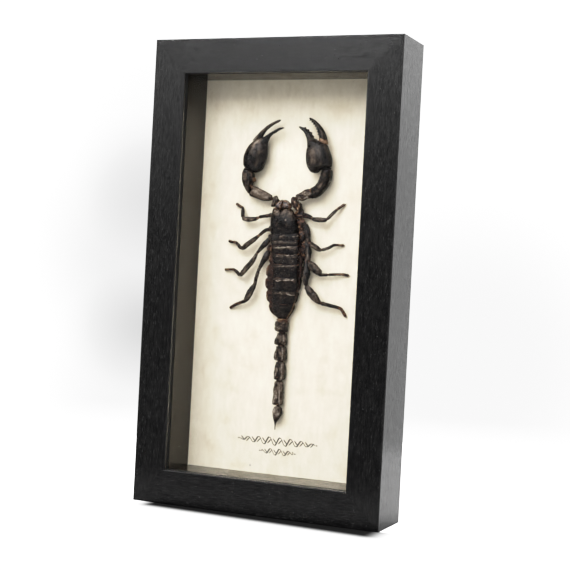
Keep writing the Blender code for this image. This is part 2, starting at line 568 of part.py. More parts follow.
def add_tail():
    """Each segment has eight sides, whose corners are the keels that run along a tail."""
    for name, stations in TAIL.items():
        keels = 8
        widen = 1 / math.cos(math.pi / keels)  # an eight-sided ring's flats lie inside its corners
        rings = []
        for z, left, right, thickness in stations:
            spread = (right - left) / 2 * (widen - 1)
            ends = ((left - spread, z), (right + spread, z))
            rings.append(rounded_ring(*ends, TAIL_HEIGHT, thickness, keels, math.pi / keels))
        loft(name, rings, "shell_black")


def add_leg(name, points):
    """A leg is a bent tube, thick along each member and thin at each joint."""
    curve = bpy.data.curves.new(name, "CURVE")
    curve.dimensions = "3D"
    curve.bevel_depth = MM
    curve.bevel_resolution = 2
    curve.use_fill_caps = True
    spline = curve.splines.new("POLY")
    spline.points.add(len(points) - 1)
    for point, (x, z, height, radius) in zip(spline.points, points):
        point.co = (x * MM, (PAPER_Y - height) * MM, z * MM, 1.0)
        point.radius = radius
    add_part(name, curve, "shell_brown")


def add_carapace():
    """A domed shield over a narrower underside, with a bay in its front edge and an eye mound."""
    crown_angles = np.linspace(0.0, math.pi, 9)
    rings = []
    for number, (z, left, right, crown) in enumerate(CARAPACE):
        middle, half = (left + right) / 2, (right - left) / 2
        xs = middle + half * np.cos(crown_angles)
        heights = RIM_HEIGHT + (crown - RIM_HEIGHT) * np.sin(crown_angles) ** 0.8
        floor = CARAPACE_FLOOR * half
        xs = np.concatenate([xs, [middle - floor, middle + floor]])
        heights = np.concatenate([heights, [FOOT, FOOT]])
        bay = NOTCH_DEPTH * np.exp(-(((xs - middle) / NOTCH_WIDTH) ** 2)) * (number < 2)
        rings.append(list(zip(xs.tolist(), heights.tolist(), (z - bay).tolist())))
    carapace = loft("carapace", rings, "shell_black")

    mound = bpy.data.meshes.new("eye_mound")
    shape = bmesh.new()
    made = bmesh.ops.create_uvsphere(shape, u_segments=10, v_segments=6, radius=1.0)
    x, z, height = EYE_MOUND
    wide, long, tall = EYE_MOUND_SIZE
    for vertex in made["verts"]:
        place = (x + wide * vertex.co.x, PAPER_Y - height + tall * vertex.co.y, z + long * vertex.co.z)
        vertex.co = Vector(place) * MM
    shape.to_mesh(mound)
    shape.free()
    cut(carapace, add_helper("eye_mound", mound), "UNION")


def abdomen_ring(z, rise):
    """The abdomen's section at z: a plate, raised by rise, over a wider soft belly."""
    table = np.array(ABDOMEN)[::-1]
    left, right, belly_left, belly_right, crown = (
        float(np.interp(z, table[:, 0], table[:, column])) for column in range(1, 6)
    )
    nearest = min(abs(z - end) for end in PLATE_ENDS[1:-1])
    pinch = BELLY_PINCH * math.exp(-((nearest / PINCH_LENGTH) ** 2))
    belly_left, belly_right = belly_left + pinch, belly_right - pinch * 0.5
    middle, half = (left + right) / 2, (right - left) / 2
    angles = np.linspace(0.0, math.pi, 7)
    shoulder = crown * SHOULDER
    xs = middle + half * np.cos(angles)
    heights = shoulder + rise + (crown - shoulder) * np.sin(angles) ** 0.75
    low_left, low_right = belly_left * 0.85, belly_right * 0.9
    sides = [
        (belly_left, crown * 0.46), (belly_left, crown * 0.24), (low_left, FOOT),
        (low_right, FOOT), (belly_right, crown * 0.24), (belly_right, crown * 0.46),
    ]
    ring = list(zip(xs.tolist(), heights.tolist()))
    return [(x, h, z) for x, h in ring + sides]


def add_abdomen():
    rings = []
    for front, rear in zip(PLATE_ENDS, PLATE_ENDS[1:]):
        rings.append(abdomen_ring(front - PLATE_DROP, 0.0))
        steps = max(1, round((front - rear) / 3.5))
        for k in range(1, steps):
            rings.append(abdomen_ring(front - (front - rear) * k / steps, PLATE_STEP * k / steps))
        rings.append(abdomen_ring(rear, PLATE_STEP))
    loft("abdomen", rings, "shell_black")


def add_scorpion():
    add_carapace()
    add_abdomen()
    add_tail()
    for name, stations in ARMS.items():
        add_limb(name, stations, "shell_black")
    for name, stations in JAWS.items():
        add_limb(name, stations, "shell_brown")
    for name, points in LEGS.items():
        add_leg(name, points)


def main():
    clear_scene()
    rails = add_rails()
    add_layers()
    add_tabs(rails)
    add_hanger(rails)
    add_scorpion()


main()
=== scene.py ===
# Framed scorpion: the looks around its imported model.
# Tables and sizes are in millimetres, and mm turns them into metres. A height is measured up from
# the paper towards the glass, so a point (x, height, z) lies at y = paperY - height.

import math

import bpy
import numpy as np
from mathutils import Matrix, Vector


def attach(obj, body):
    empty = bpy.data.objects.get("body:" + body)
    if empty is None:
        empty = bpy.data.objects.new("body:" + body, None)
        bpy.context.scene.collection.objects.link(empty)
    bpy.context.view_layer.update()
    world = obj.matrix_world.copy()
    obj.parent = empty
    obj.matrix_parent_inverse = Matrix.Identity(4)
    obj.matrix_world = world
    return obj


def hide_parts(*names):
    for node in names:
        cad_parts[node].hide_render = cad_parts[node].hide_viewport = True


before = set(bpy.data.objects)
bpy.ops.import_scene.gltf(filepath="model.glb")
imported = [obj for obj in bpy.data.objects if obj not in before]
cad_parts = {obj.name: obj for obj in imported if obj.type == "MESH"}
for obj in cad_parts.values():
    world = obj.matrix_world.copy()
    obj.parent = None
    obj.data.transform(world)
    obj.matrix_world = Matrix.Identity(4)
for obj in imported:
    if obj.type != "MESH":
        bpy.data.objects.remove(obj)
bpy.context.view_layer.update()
print("loaded", len(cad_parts), "nodes")

mm = 0.001
paperY = 12.5
middleZ = 127.0  # half the frame's height


# Node helpers

# A node's output. Sums of such values are written with + - * / and abs, and become Math nodes.
class Value:
    def __init__(self, socket):
        self.socket = socket

    __add__ = lambda self, other: calc("ADD", self, other)
    __sub__ = lambda self, other: calc("SUBTRACT", self, other)
    __rsub__ = lambda self, other: calc("SUBTRACT", other, self)
    __mul__ = lambda self, other: calc("MULTIPLY", self, other)
    __truediv__ = lambda self, other: calc("DIVIDE", self, other)
    __rtruediv__ = lambda self, other: calc("DIVIDE", other, self)
    __abs__ = lambda self: calc("ABSOLUTE", self)


# Sets a node's inputs, or links them where the value comes from another node.
def feed(node, inputs):
    for key, value in inputs.items():
        key = key.replace("_", " ") if isinstance(key, str) else key
        if isinstance(value, Value):
            node.id_data.links.new(value.socket, node.inputs[key])
        else:
            node.inputs[key].default_value = value


# The outputs of a new node, in the tree of the values that feed it.
def addNode(kind, inputs, **settings):
    tree = next(value.socket.id_data for value in inputs.values() if isinstance(value, Value))
    made = tree.nodes.new("ShaderNode" + kind)
    for name, value in settings.items():
        setattr(made, name, value)
    feed(made, inputs)
    return [Value(socket) for socket in made.outputs]


# One output of a new node that needs no input.
def source(tree, kind, output, **settings):
    made = tree.nodes.new("ShaderNode" + kind)
    for name, value in settings.items():
        setattr(made, name, value)
    return Value(made.outputs[output])


def calc(operation, *values):
    return addNode("Math", dict(enumerate(values)), operation=operation)[0]


# One value at low, another at high and beyond, eased between them.
def fade(value, low, high, toLow=0.0, toHigh=1.0, easing="SMOOTHSTEP"):
    inputs = {0: value, 1: low, 2: high, 3: toLow, 4: toHigh}
    return addNode("MapRange", inputs, interpolation_type=easing)[0]


# From one end to the other as share runs from 0 to 1: an end may come from another node too.
def between(share, ends):
    return share * (ends[1] - ends[0]) + ends[0]


def noise(place, scale, detail, **inputs):
    return addNode("TexNoise", {"Vector": place, "Scale": scale, "Detail": detail, **inputs})[0]


def squeezed(place, by):
    return addNode("VectorMath", {0: place, 1: by}, operation="MULTIPLY")[0]


# A mix of two colours: each is (red, green, blue) or comes from another node.
def mixColours(share, low, high):
    low, high = (colour if isinstance(colour, Value) else (*colour, 1.0) for colour in (low, high))
    return addNode("Mix", {0: share, 6: low, 7: high}, data_type="RGBA")[2]


# A colour ramp: stops are (place, (red, green, blue)).
def ramp(value, stops):
    made = addNode("ValToRGB", {0: value})[0]
    elements = made.socket.node.color_ramp.elements
    while len(elements) < len(stops):
        elements.new(0.5)
    for element, (place, colour) in zip(elements, stops):
        element.position = place
        element.color = (*colour, 1.0)
    return made


# A node group, from its inputs with their values (None for a place) and a function that turns them
# into its outputs by name. What comes back places the group at a place, with its other inputs.
def makeGroup(name, inputs, build):
    tree = bpy.data.node_groups.new(name, "ShaderNodeTree")
    for label, value in inputs.items():
        kind = "NodeSocketVector" if value is None else "NodeSocketFloat"
        socket = tree.interface.new_socket(name=label, in_out="INPUT", socket_type=kind)
        if value is not None:
            socket.default_value = value
    given = tree.nodes.new("NodeGroupInput").outputs
    results = build(*(Value(given[label]) for label in inputs))
    for label in results:
        tree.interface.new_socket(name=label, in_out="OUTPUT", socket_type="NodeSocketFloat")
    feed(tree.nodes.new("NodeGroupOutput"), results)

    def placed(place, **others):
        outputs = addNode("Group", {"Place": place, **others}, node_tree=tree)
        return {value.socket.name: value for value in outputs}

    return placed


# A material, and its place in millimetres about the frame's middle.
def newMaterial(name, colour, **inputs):
    material = bpy.data.materials.new(name)
    material.use_nodes = True
    material.diffuse_color = (*colour, 1.0)
    feed(material.node_tree.nodes["Principled BSDF"], {"Base Color": (*colour, 1.0), **inputs})
    spot = source(material.node_tree, "TexCoord", "Object")
    place = addNode("Mapping", {"Vector": spot, "Location": (0, 0, -middleZ), "Scale": (1 / mm,) * 3})[0]
    return material, place


# Feeds a material's shader, with its bump from a height in millimetres.
def dress(material, height, **inputs):
    bump = addNode("Bump", {"Height": height, "Strength": 1.0, "Distance": mm})[0]
    feed(material.node_tree.nodes["Principled BSDF"], {"Normal": bump, **inputs})
    return material


# Node groups

# Lines of grain: two noises on a place that is already squeezed along the grain.
def grainLines(place, fineness):
    broad, fine = noise(place, fineness, 4.0, Roughness=0.6), noise(place, fineness * 4.0, 3.0)
    return {"Tone": fade(broad, 0.3, 0.7), "Height": fine * 0.6 + broad * 0.4}


# Specks: the middles of scattered cells, kept where the cell's own random value is under Share.
def speckMask(place, spacing, size, share):
    distance, colour, *_ = addNode("TexVoronoi", {"Vector": place, "Scale": 1.0 / spacing})
    chance = addNode("SeparateColor", {0: colour})[0]
    near = fade(distance, size * 0.6, size, 1.0, 0.0, "LINEAR")
    return {"Mask": near * calc("LESS_THAN", chance, share)}


# Clouds: a broad noise and a finer one, from 0 to 1.
def cloudPair(place, size):
    broad, fine = noise(place, 1.0 / size, 3.0), noise(place, 7.0 / size, 5.0)
    return {"Value": fade(broad, 0.25, 0.75), "Fine": fade(fine, 0.25, 0.75)}


# Rubbed edges of a box about the origin: a place is near an edge where the second smallest of its
# three distances to the faces is small. A noise breaks the line up.
def edgeMask(place, halfX, halfY, halfZ, reach, broken):
    parts = addNode("SeparateXYZ", {0: place})
    gaps = [abs(half - abs(part)) for half, part in zip((halfX, halfY, halfZ), parts)]
    low, high = calc("MINIMUM", *gaps[:2]), calc("MAXIMUM", *gaps[:2])
    second = calc("MAXIMUM", low, calc("MINIMUM", high, gaps[2]))
    line = fade(second, 0.0, reach, 1.0, 0.0, "LINEAR")
    return {"Mask": calc("GREATER_THAN", line * noise(place, 0.8, 6.0), broken)}


# Hard shell: fine granules and coarser wrinkles, both stronger in some patches than in others, with
# a change of tone at two sizes and a change of gloss.
def shellRelief(place, granule, relief, wrinkle, wrinkleRelief):
    cells = addNode("TexVoronoi", {"Vector": place, "Scale": 1.0 / granule, "Randomness": 0.9})[0]
    slow = noise(place, 1 / 1.7, 4.0)
    grains = fade(cells, 0.1, 0.6, 1.0, 0.0) * fade(slow, 0.35, 0.65, 0.35, 1.0)
    wrinkles = fade(noise(place, 1.0 / wrinkle, 2.5), 0.28, 0.72)
    return {"Height": wrinkles * wrinkleRelief + grains * relief,
            "Tone": noise(place, 1 / 0.55, 2.0) * 0.5 + slow * 0.5,
            "Dull": fade(noise(place, 1 / 0.7, 4.0), 0.3, 0.7)}


# A penned vine: a wave whose height swells in the middle, drawn by its distance from the line, with
# a leaf in each half wave and a lozenge past each end.
def vineMask(place, centreX, centreZ, halfLength, swing, wave, stroke):
    x, _, z = addNode("SeparateXYZ", {0: place})
    u, v = x - centreX, z - centreZ
    share = u / halfLength
    inside = calc("LESS_THAN", abs(share), 1.0)
    high = swing * (1.0 - share * share * 0.75)
    rate = 2 * math.pi / wave
    sine = calc("SINE", u * rate)
    steep = high * rate * calc("COSINE", u * rate)
    off = abs(v - high * sine) / calc("SQRT", steep * steep + 1.0)
    pen = stroke * (fade(steep, 0.0, 1.2) * 0.5 + 0.5) * 0.5
    drawn = calc("LESS_THAN", off, pen) * inside
    # a leaf leans in each half wave, on the hollow side of the line
    half = wave * 0.5
    side = calc("SIGN", sine)
    low = side * swing * 0.1 + v
    leafX = ((calc("FRACT", u / half) - 0.5) * half - low * side * 0.8) / (wave * 0.075)
    leafZ = low / (swing * 0.62)
    leaf = calc("LESS_THAN", leafX * leafX + leafZ * leafZ, 1.0) * inside
    corner = abs(abs(u) - (halfLength + 0.9)) / 0.75 + abs(v) / 0.45
    return {"Mask": calc("MAXIMUM", calc("MAXIMUM", drawn, leaf), calc("LESS_THAN", corner, 1.0))}


longGrain = makeGroup("longGrain", {"Place": None, "Fineness": 1.5}, grainLines)
scatteredSpecks = makeGroup("scatteredSpecks", {
    "Place": None, "Spacing": 2.0, "Size": 0.1, "Share": 0.3}, speckMask)
softClouds = makeGroup("softClouds", {"Place": None, "Size": 6.0}, cloudPair)
rubbedEdges = makeGroup("rubbedEdges", {
    "Place": None, "Half X": 10.0, "Half Y": 10.0, "Half Z": 10.0, "Reach": 0.8,
    "Broken": 0.5}, edgeMask)
shellSurface = makeGroup("shellSurface", {
    "Place": None, "Granule": 0.25, "Relief": 0.05, "Wrinkle": 0.9,
    "Wrinkle Relief": 0.08}, shellRelief)
pennedVine = makeGroup("pennedVine", {
    "Place": None, "Centre X": 0.0, "Centre Z": 0.0, "Half Length": 20.0, "Swing": 1.0, "Wave": 5.0,
    "Stroke": 0.3}, vineMask)


# Finishes of the frame and of what lies in it

woodLook = {
    "paint": (0.0018, 0.0018, 0.0020), "paintRaised": (0.0078, 0.0075, 0.0074),
    "rubbed": (0.10, 0.095, 0.09), "fleck": (0.20, 0.20, 0.19),
    "squeeze": 0.11,  # the grain runs this much slower along a rail than across it
    "fineness": 1.0,
    "dull": (0.11, 0.22),  # roughness, from the smoothest to the dullest
    "relief": 0.09,
    "gloss": (0.0, 0.42),  # the clear coat over the paint, from its thinnest streak to its thickest
    "pitted": 0.5,  # how much duller the paint is in its pits
    # the lip's own side is dull behind its front edge: half width, half height, where, how much
    "lipSide": (52.9, 108.4, (-16.0, -15.3), 0.65),
}


# Satin black paint over open grain: streaks of tone and gloss, pores, flecks of dust, rubbed edges.
def paintedWood(name, squeeze):
    look = woodLook
    material, place = newMaterial(name, look["paint"], IOR=1.42, Coat_Roughness=0.2)
    along = squeezed(place, squeeze)
    grain = longGrain(along, Fineness=look["fineness"])
    clouds, coat = softClouds(place, Size=14.0), softClouds(along, Size=3.0)
    pores = scatteredSpecks(along, Spacing=0.42, Size=0.26, Share=0.30)["Mask"]
    pits = scatteredSpecks(place, Spacing=2.4, Size=0.10, Share=0.35)["Mask"]
    flecks = scatteredSpecks(place, Spacing=2.6, Size=0.05, Share=0.35)["Mask"]
    edges = rubbedEdges(place, Half_X=71.5, Half_Y=17.0, Half_Z=middleZ, Reach=0.9, Broken=0.60)["Mask"]
    paint = mixColours(grain["Tone"] * clouds["Fine"], look["paint"], look["paintRaised"])
    paint = mixColours(flecks, mixColours(edges, paint, look["rubbed"]), look["fleck"])
    halfX, halfZ, reach, duller = look["lipSide"]
    x, y, z = addNode("SeparateXYZ", {0: place})
    lip = calc("LESS_THAN", abs(x), halfX) * calc("LESS_THAN", abs(z), halfZ) * fade(y, *reach)
    dull = between(grain["Tone"] * 0.6 + clouds["Value"] * 0.4, look["dull"])
    dull = dull + calc("MAXIMUM", flecks, pits) * look["pitted"] + lip * duller
    gloss = fade(coat["Fine"], 0.25, 0.8, *look["gloss"]) * (1.0 - lip)
    height = (grain["Height"] - pores * 0.5) * look["relief"]
    return dress(material, height, Base_Color=paint, Roughness=dull, Coat_Weight=gloss)


linerLook = {"dark": (0.0074, 0.0050, 0.0034), "light": (0.0138, 0.0096, 0.0068),
             "crumb": (0.2, 0.18, 0.15), "dull": (0.18, 0.26)}


# Smooth black card: faint clouds, a few pale crumbs of dust.
def blackLiner():
    look = linerLook
    material, place = newMaterial("blackLiner", look["dark"], IOR=1.3)
    clouds = softClouds(place, Size=9.0)
    crumbs = scatteredSpecks(place, Spacing=3.1, Size=0.05, Share=0.4)["Mask"]
    colour = mixColours(crumbs, mixColours(clouds["Fine"], look["dark"], look["light"]), look["crumb"])
    rough = between(clouds["Value"], look["dull"])
    return dress(material, clouds["Fine"] * 0.004, Base_Color=colour, Roughness=rough)


# Clear glass: smudges change its gloss a little, and shadows pass straight through it.
def clearGlass():
    material, place = newMaterial("clearGlass", (0.985, 0.99, 0.985), Transmission_Weight=1.0,
                                  IOR=1.5, Specular_Tint=(0.1, 0.1, 0.1, 1.0))
    clouds = softClouds(place, Size=18.0)["Value"]
    dust = scatteredSpecks(place, Spacing=6.0, Size=0.02, Share=0.3)["Mask"]
    tree = material.node_tree
    clear = Value(tree.nodes["Principled BSDF"].outputs[0])
    shadow, through = source(tree, "LightPath", "Is Shadow Ray"), source(tree, "BsdfTransparent", 0)
    both = addNode("MixShader", {0: shadow, 1: clear, 2: through})[0]
    feed(tree.nodes["Material Output"], {"Surface": both})
    return dress(material, clouds * 0.01, Roughness=dust * 0.4 + fade(clouds, 0.6, 1.0, 0.0, 0.03))


paperLook = {
    "light": (0.905, 0.820, 0.662),
    "dark": (0.715, 0.622, 0.455),
    "stain": (0.62, 0.51, 0.35),
    "speck": (0.34, 0.31, 0.27),
    "ink": (0.030, 0.027, 0.026),
    "dot": (-14.6, 22.0, 0.3, 0.7),  # a speck of dirt: x, z, and how far out it is full and gone
    # each line: middle x, middle z, half its length, swing, wave, stroke
    "vines": [(1.0, 36.6, 22.4, 2.1, 6.4, 0.95), (1.3, 30.8, 9.6, 1.7, 5.5, 0.90)],
}


# Mottled parchment paper: clouds of two sizes, short fibres, specks, and two lines of ornament.
def parchment():
    look = paperLook
    material, place = newMaterial("parchment", look["light"], IOR=1.4)
    upright = squeezed(place, (1.0, 1.0, 0.35))
    clouds, streaks = softClouds(place, Size=11.0), softClouds(upright, Size=3.2)
    fibres = longGrain(upright, Fineness=2.4)["Height"]
    specks = scatteredSpecks(place, Spacing=5.5, Size=0.035, Share=0.35)["Mask"]
    shade = (clouds["Value"] + streaks["Value"]) * 0.35 + clouds["Fine"] * 0.2
    colour = mixColours(shade, look["light"], look["dark"])
    colour = mixColours(fade(clouds["Value"], 0.72, 1.0) * 0.25, colour, look["stain"])
    colour = mixColours(specks, colour, look["speck"])
    for x, z, half, swing, wave, stroke in look["vines"]:
        vine = pennedVine(place, Centre_X=x, Centre_Z=z - middleZ, Half_Length=half, Swing=swing,
                          Wave=wave, Stroke=stroke)["Mask"]
        colour = mixColours(vine * fade(fibres, 0.3, 0.5, 0.7, 0.95), colour, look["ink"])
    x, z, full, gone = look["dot"]
    far = addNode("VectorMath", {0: squeezed(place, (1.0, 0.0, 1.0)), 1: (x, 0.0, z - middleZ)},
                  operation="DISTANCE")[1]
    colour = mixColours(fade(far, full, gone, 1.0, 0.0), colour, look["speck"])
    rough = fade(clouds["Fine"], 0.0, 1.0, 0.78, 0.92)
    return dress(material, fibres * 0.05, Base_Color=colour, Roughness=rough)


boardLook = {"dark": (0.13, 0.082, 0.045), "light": (0.27, 0.18, 0.105), "shive": (0.42, 0.31, 0.19),
             "edge": (0.45, 0.34, 0.22)}


# Brown hardboard: matted fibres, dark and pale shives, edges a little fuzzy and pale.
def hardBoard():
    look = boardLook
    material, place = newMaterial("hardBoard", (0.2, 0.13, 0.075))
    clouds = softClouds(place, Size=7.0)
    shives = scatteredSpecks(place, Spacing=1.4, Size=0.12, Share=0.4)["Mask"]
    edges = rubbedEdges(place, Half_X=57.4, Half_Y=14.7, Half_Z=112.9, Reach=0.8, Broken=0.42)["Mask"]
    colour = mixColours(clouds["Fine"], look["dark"], look["light"])
    colour = mixColours(edges * 0.6, mixColours(shives * 0.5, colour, look["shive"]), look["edge"])
    rough = fade(clouds["Value"], 0.0, 1.0, 0.72, 0.92)
    return dress(material, clouds["Fine"] * 0.12, Base_Color=colour, Roughness=rough)


# Rolled metal: brushed lines, tarnish in clouds, small scratches and spots.
def metal(name, bright, tarnish, dull):
    material, place = newMaterial(name, bright, Metallic=1.0)
    lines = longGrain(squeezed(place, (0.06, 1.0, 1.0)), Fineness=5.0)["Height"]
    clouds = softClouds(place, Size=3.5)
    spots = scatteredSpecks(place, Spacing=0.9, Size=0.14, Share=0.3)["Mask"]
    colour = mixColours(spots * 0.6, mixColours(clouds["Value"] * 0.8, bright, tarnish), tarnish)
    return dress(material, lines * 0.015, Base_Color=colour, Roughness=clouds["Fine"] * 0.25 + dull)


slow = woodLook["squeeze"]
woodAcross = paintedWood("blackWoodAcross", (slow, 1.0, 1.0))
woodUpright = paintedWood("blackWoodUpright", (1.0, 1.0, slow))
liner = blackLiner()
steel = metal("tabSteel", (0.55, 0.55, 0.53), (0.28, 0.25, 0.21), 0.30)
brass = metal("hangerBrass", (0.66, 0.50, 0.25), (0.33, 0.22, 0.10), 0.28)

finishes = {
    "rail_top": woodAcross, "rail_bottom": woodAcross,
    "rail_left": woodUpright, "rail_right": woodUpright,
    "glass": clearGlass(), "mount_board": parchment(), "backing_board": hardBoard(),
    "spacer_top": liner, "spacer_bottom": liner, "spacer_left": liner, "spacer_right": liner,
    "hanger": brass, "nail_left": brass, "nail_right": brass,
    **{f"point_{number}": steel for number in range(1, 7)},
}
for name, material in finishes.items():
    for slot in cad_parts[name].material_slots:
        slot.material = material
print("frame finished")


# Finishes of the scorpion

shellLook = {
    # tone 0 is hard black shell, 0.5 the red-brown of thin shell, 1 the tan skin of a joint, and below 0
    # the shell is paler, to a pale warm grey at -1: partly rubbed dust, partly painted highlight and
    # sheen
    "tones": [
        (-1.0, (0.30, 0.255, 0.21)), (-0.6, (0.098, 0.0715, 0.0535)), (-0.3, (0.0360, 0.0258, 0.0196)),
        (-0.15, (0.0145, 0.0112, 0.0096)), (0.0, (0.0030, 0.0030, 0.0033)),
        (0.2, (0.0135, 0.0090, 0.0078)),
        (0.4, (0.042, 0.021, 0.0155)), (0.62, (0.112, 0.060, 0.034)), (0.82, (0.235, 0.150, 0.086)),
        (1.0, (0.40, 0.28, 0.18))],
    "toneSpread": 1.1,  # how far the fine noise moves a tone, as a share of the tone
}


# Dried shell: the piece's own tone attribute sets the colour, and granules and wrinkles the gloss.
def shellFinish(name, dull, granule, relief, wrinkle, wrinkleRelief, **inputs):
    look = shellLook
    material, place = newMaterial(name, (0.004, 0.004, 0.004), IOR=1.5, **inputs)
    tone = source(material.node_tree, "Attribute", "Fac", attribute_name="tone")
    shell = shellSurface(place, Granule=granule, Relief=relief, Wrinkle=wrinkle,
                         Wrinkle_Relief=wrinkleRelief)
    spread = shell["Tone"] * look["toneSpread"] + (1 - look["toneSpread"] / 2)
    stops = [((at + 1) / 2, colour) for at, colour in look["tones"]]
    colour = ramp(tone * spread * 0.5 + 0.5, stops)
    return dress(material, shell["Height"], Base_Color=colour, Roughness=between(shell["Dull"], dull))


shellBlack = shellFinish("shellBlack", (0.15, 0.30), 0.5, 0.015, 1.4, 0.09, Specular_IOR_Level=0.11)
shellSmooth = shellFinish("shellSmooth", (0.20, 0.36), 0.4, 0.015, 1.3, 0.07, Specular_IOR_Level=0.15)
shellGloss = shellFinish("shellGloss", (0.12, 0.30), 0.4, 0.01, 1.0, 0.10,
                         Coat_Weight=0.25, Coat_Roughness=0.1)


# Shapes

# Points (x, y, z) from three parts that are spread over one grid.
def grid(x, y, z):
    return np.stack(np.broadcast_arrays(x, y, z), axis=-1)


# Directions brought to a length of 1.
def unit(ways):
    return ways / np.maximum(np.linalg.norm(ways, axis=-1, keepdims=True), 1e-9)


# Values held between 0 and 1.
def held(values):
    return np.clip(values, 0, 1)


# How far along a line each of its points lies: the summed lengths of the steps up to it.
def reached(points):
    return np.append(0, np.cumsum(np.linalg.norm(np.diff(points, axis=0), axis=1)))


# Angles round a ring.
def turns(around):
    return np.arange(around) * 2 * math.pi / around


# A round section by angle, across and up: cosine and sine, squarer where power is under 1.
def section(turn, power=1.0):
    return [np.sign(side) * np.abs(side) ** power for side in (np.cos(turn), np.sin(turn))]


# Values of a table between its rows: cubic pieces whose slope at a row is the harmonic mean of the
# slopes beside it, and nought where those differ in sign, so that no value swings past a row.
def tableAt(places, table, at):
    places, table, at = (np.asarray(values, float) for values in (places, table, at))
    width = np.diff(places)[:, None]
    slopes = np.diff(table, axis=0) / width
    before, after = slopes[:-1], slopes[1:]
    same = before * after > 0
    inner = np.where(same, 2 * before * after / np.where(same, before + after, 1), 0)
    slopes = np.concatenate([slopes[:1], inner, slopes[-1:]])
    k = np.clip(np.searchsorted(places, at, side="right") - 1, 0, len(places) - 2)
    t = (at - places[k])[:, None] / width[k]
    return ((2 * t**3 - 3 * t**2 + 1) * table[k] + (t**3 - 2 * t**2 + t) * width[k] * slopes[k]
            + (3 * t**2 - 2 * t**3) * table[k + 1] + (t**3 - t**2) * width[k] * slopes[k + 1])


# A smooth random value from -1 to 1 at each point: random numbers on a lattice of cells, blended
# between a point's eight lattice corners by its eased share of the way across.
def cloud(points, cell, seed):
    spots = points / np.asarray(cell, float)
    low = np.floor(spots).astype(np.int64)
    share = spots - low
    ease = share * share * (3 - 2 * share)
    total = np.zeros(points.shape[:-1])
    for corner in np.ndindex(2, 2, 2):
        at = low + corner
        mixed = at[..., 0] * 73856093 ^ at[..., 1] * 19349663 ^ at[..., 2] * 83492791 ^ (seed * 26544357)
        mixed = (mixed ^ (mixed >> 13)) * 1274126177
        value = ((mixed ^ (mixed >> 16)) & 0xFFFF) / 32767.5 - 1
        total += value * np.prod(np.where(corner, ease, 1 - ease), axis=-1)
    return total


# A bell from 1 in the middle to nearly 0 at twice its width.
def bell(distance, width):
    return np.exp(-((distance / width) ** 2))


# A closed skin over rings (row, point, xyz): quads between neighbouring rings, with each ring's last
# point joined to its first, and a fan of triangles to the middle of each end ring.
def ringSkin(rings, tone):
    rows, around, _ = rings.shape
    tones = np.broadcast_to(tone, (rows, around))
    points = np.concatenate([rings.reshape(-1, 3), rings[[0, -1]].mean(axis=1)])
    k = np.arange(rows * around).reshape(rows, around)
    after = np.roll(k, -1, axis=1)
    quads = np.stack([k[:-1], after[:-1], after[1:], k[1:]], axis=-1).reshape(-1, 4)
    fans = np.concatenate([grid(after[0], k[0], k.size), grid(k[-1], after[-1], k.size + 1)])
    return points, quads, fans, np.concatenate([tones.ravel(), tones[[0, -1]].mean(axis=1)])


# A thin closed slab between an upper and a lower grid (row, column, xyz), joined around its rim.
def slabSkin(upper, lower, tones):
    rows, columns, _ = upper.shape
    size = rows * columns
    k = np.arange(size).reshape(rows, columns)
    face = np.stack([k[:-1, :-1], k[:-1, 1:], k[1:, 1:], k[1:, :-1]], axis=-1).reshape(-1, 4)
    rim = np.concatenate([k[0], k[1:, -1], k[-1, -2::-1], k[-2:0:-1, 0]])
    on = np.roll(rim, -1)
    wall = np.stack([on, rim, rim + size, on + size], axis=-1)
    quads = np.concatenate([face, face[:, ::-1] + size, wall])
    points = np.concatenate([upper.reshape(-1, 3), lower.reshape(-1, 3)])
    return points, quads, np.zeros((0, 3), int), np.concatenate([tones.ravel()] * 2)


def addObject(name, data):
    made = bpy.data.objects.new(name, data)
    bpy.context.scene.collection.objects.link(made)
    return made


# One object from closed skins given as (x, height, z). A skin whose volume comes out negative is
# turned round, so that its faces point outwards.
def makePiece(name, skins, material, standsFor=None):
    points, faces, tones, start = [], [], [], 0
    for spots, quads, fans, tone in skins:
        spots = grid(spots[:, 0], paperY - spots[:, 1], spots[:, 2]) * mm
        corners = np.concatenate([quads[:, [0, 1, 2]], quads[:, [0, 2, 3]], fans])
        a, b, c = spots[corners].transpose(1, 0, 2)
        if np.einsum("ij,ij->", a, np.cross(b, c)) < 0:
            quads, fans = quads[:, ::-1], fans[:, ::-1]
        faces += (quads + start).tolist() + (fans + start).tolist()
        points.append(spots)
        tones.append(tone)
        start += len(spots)
    mesh = bpy.data.meshes.new(name)
    mesh.from_pydata(np.concatenate(points).tolist(), [], faces)
    layer = mesh.attributes.new("tone", "FLOAT", "POINT")
    layer.data.foreach_set("value", np.clip(np.concatenate(tones), -1, 1).astype(np.float32))
    mesh.shade_smooth()
    mesh.materials.append(material)
    made = addObject(name, mesh)
    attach(made, "root")
    if standsFor:
        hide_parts(standsFor)
    return made


# The tone that round spots (x, z, radius, amount) add: a positive amount is browner shell, a negative one
# a paler patch of painted highlight and sheen.
def spotTone(rings, spots):
    return sum(amount * bell(np.hypot(rings[..., 0] - x, rings[..., 2] - z), radius)
               for x, z, radius, amount in spots)
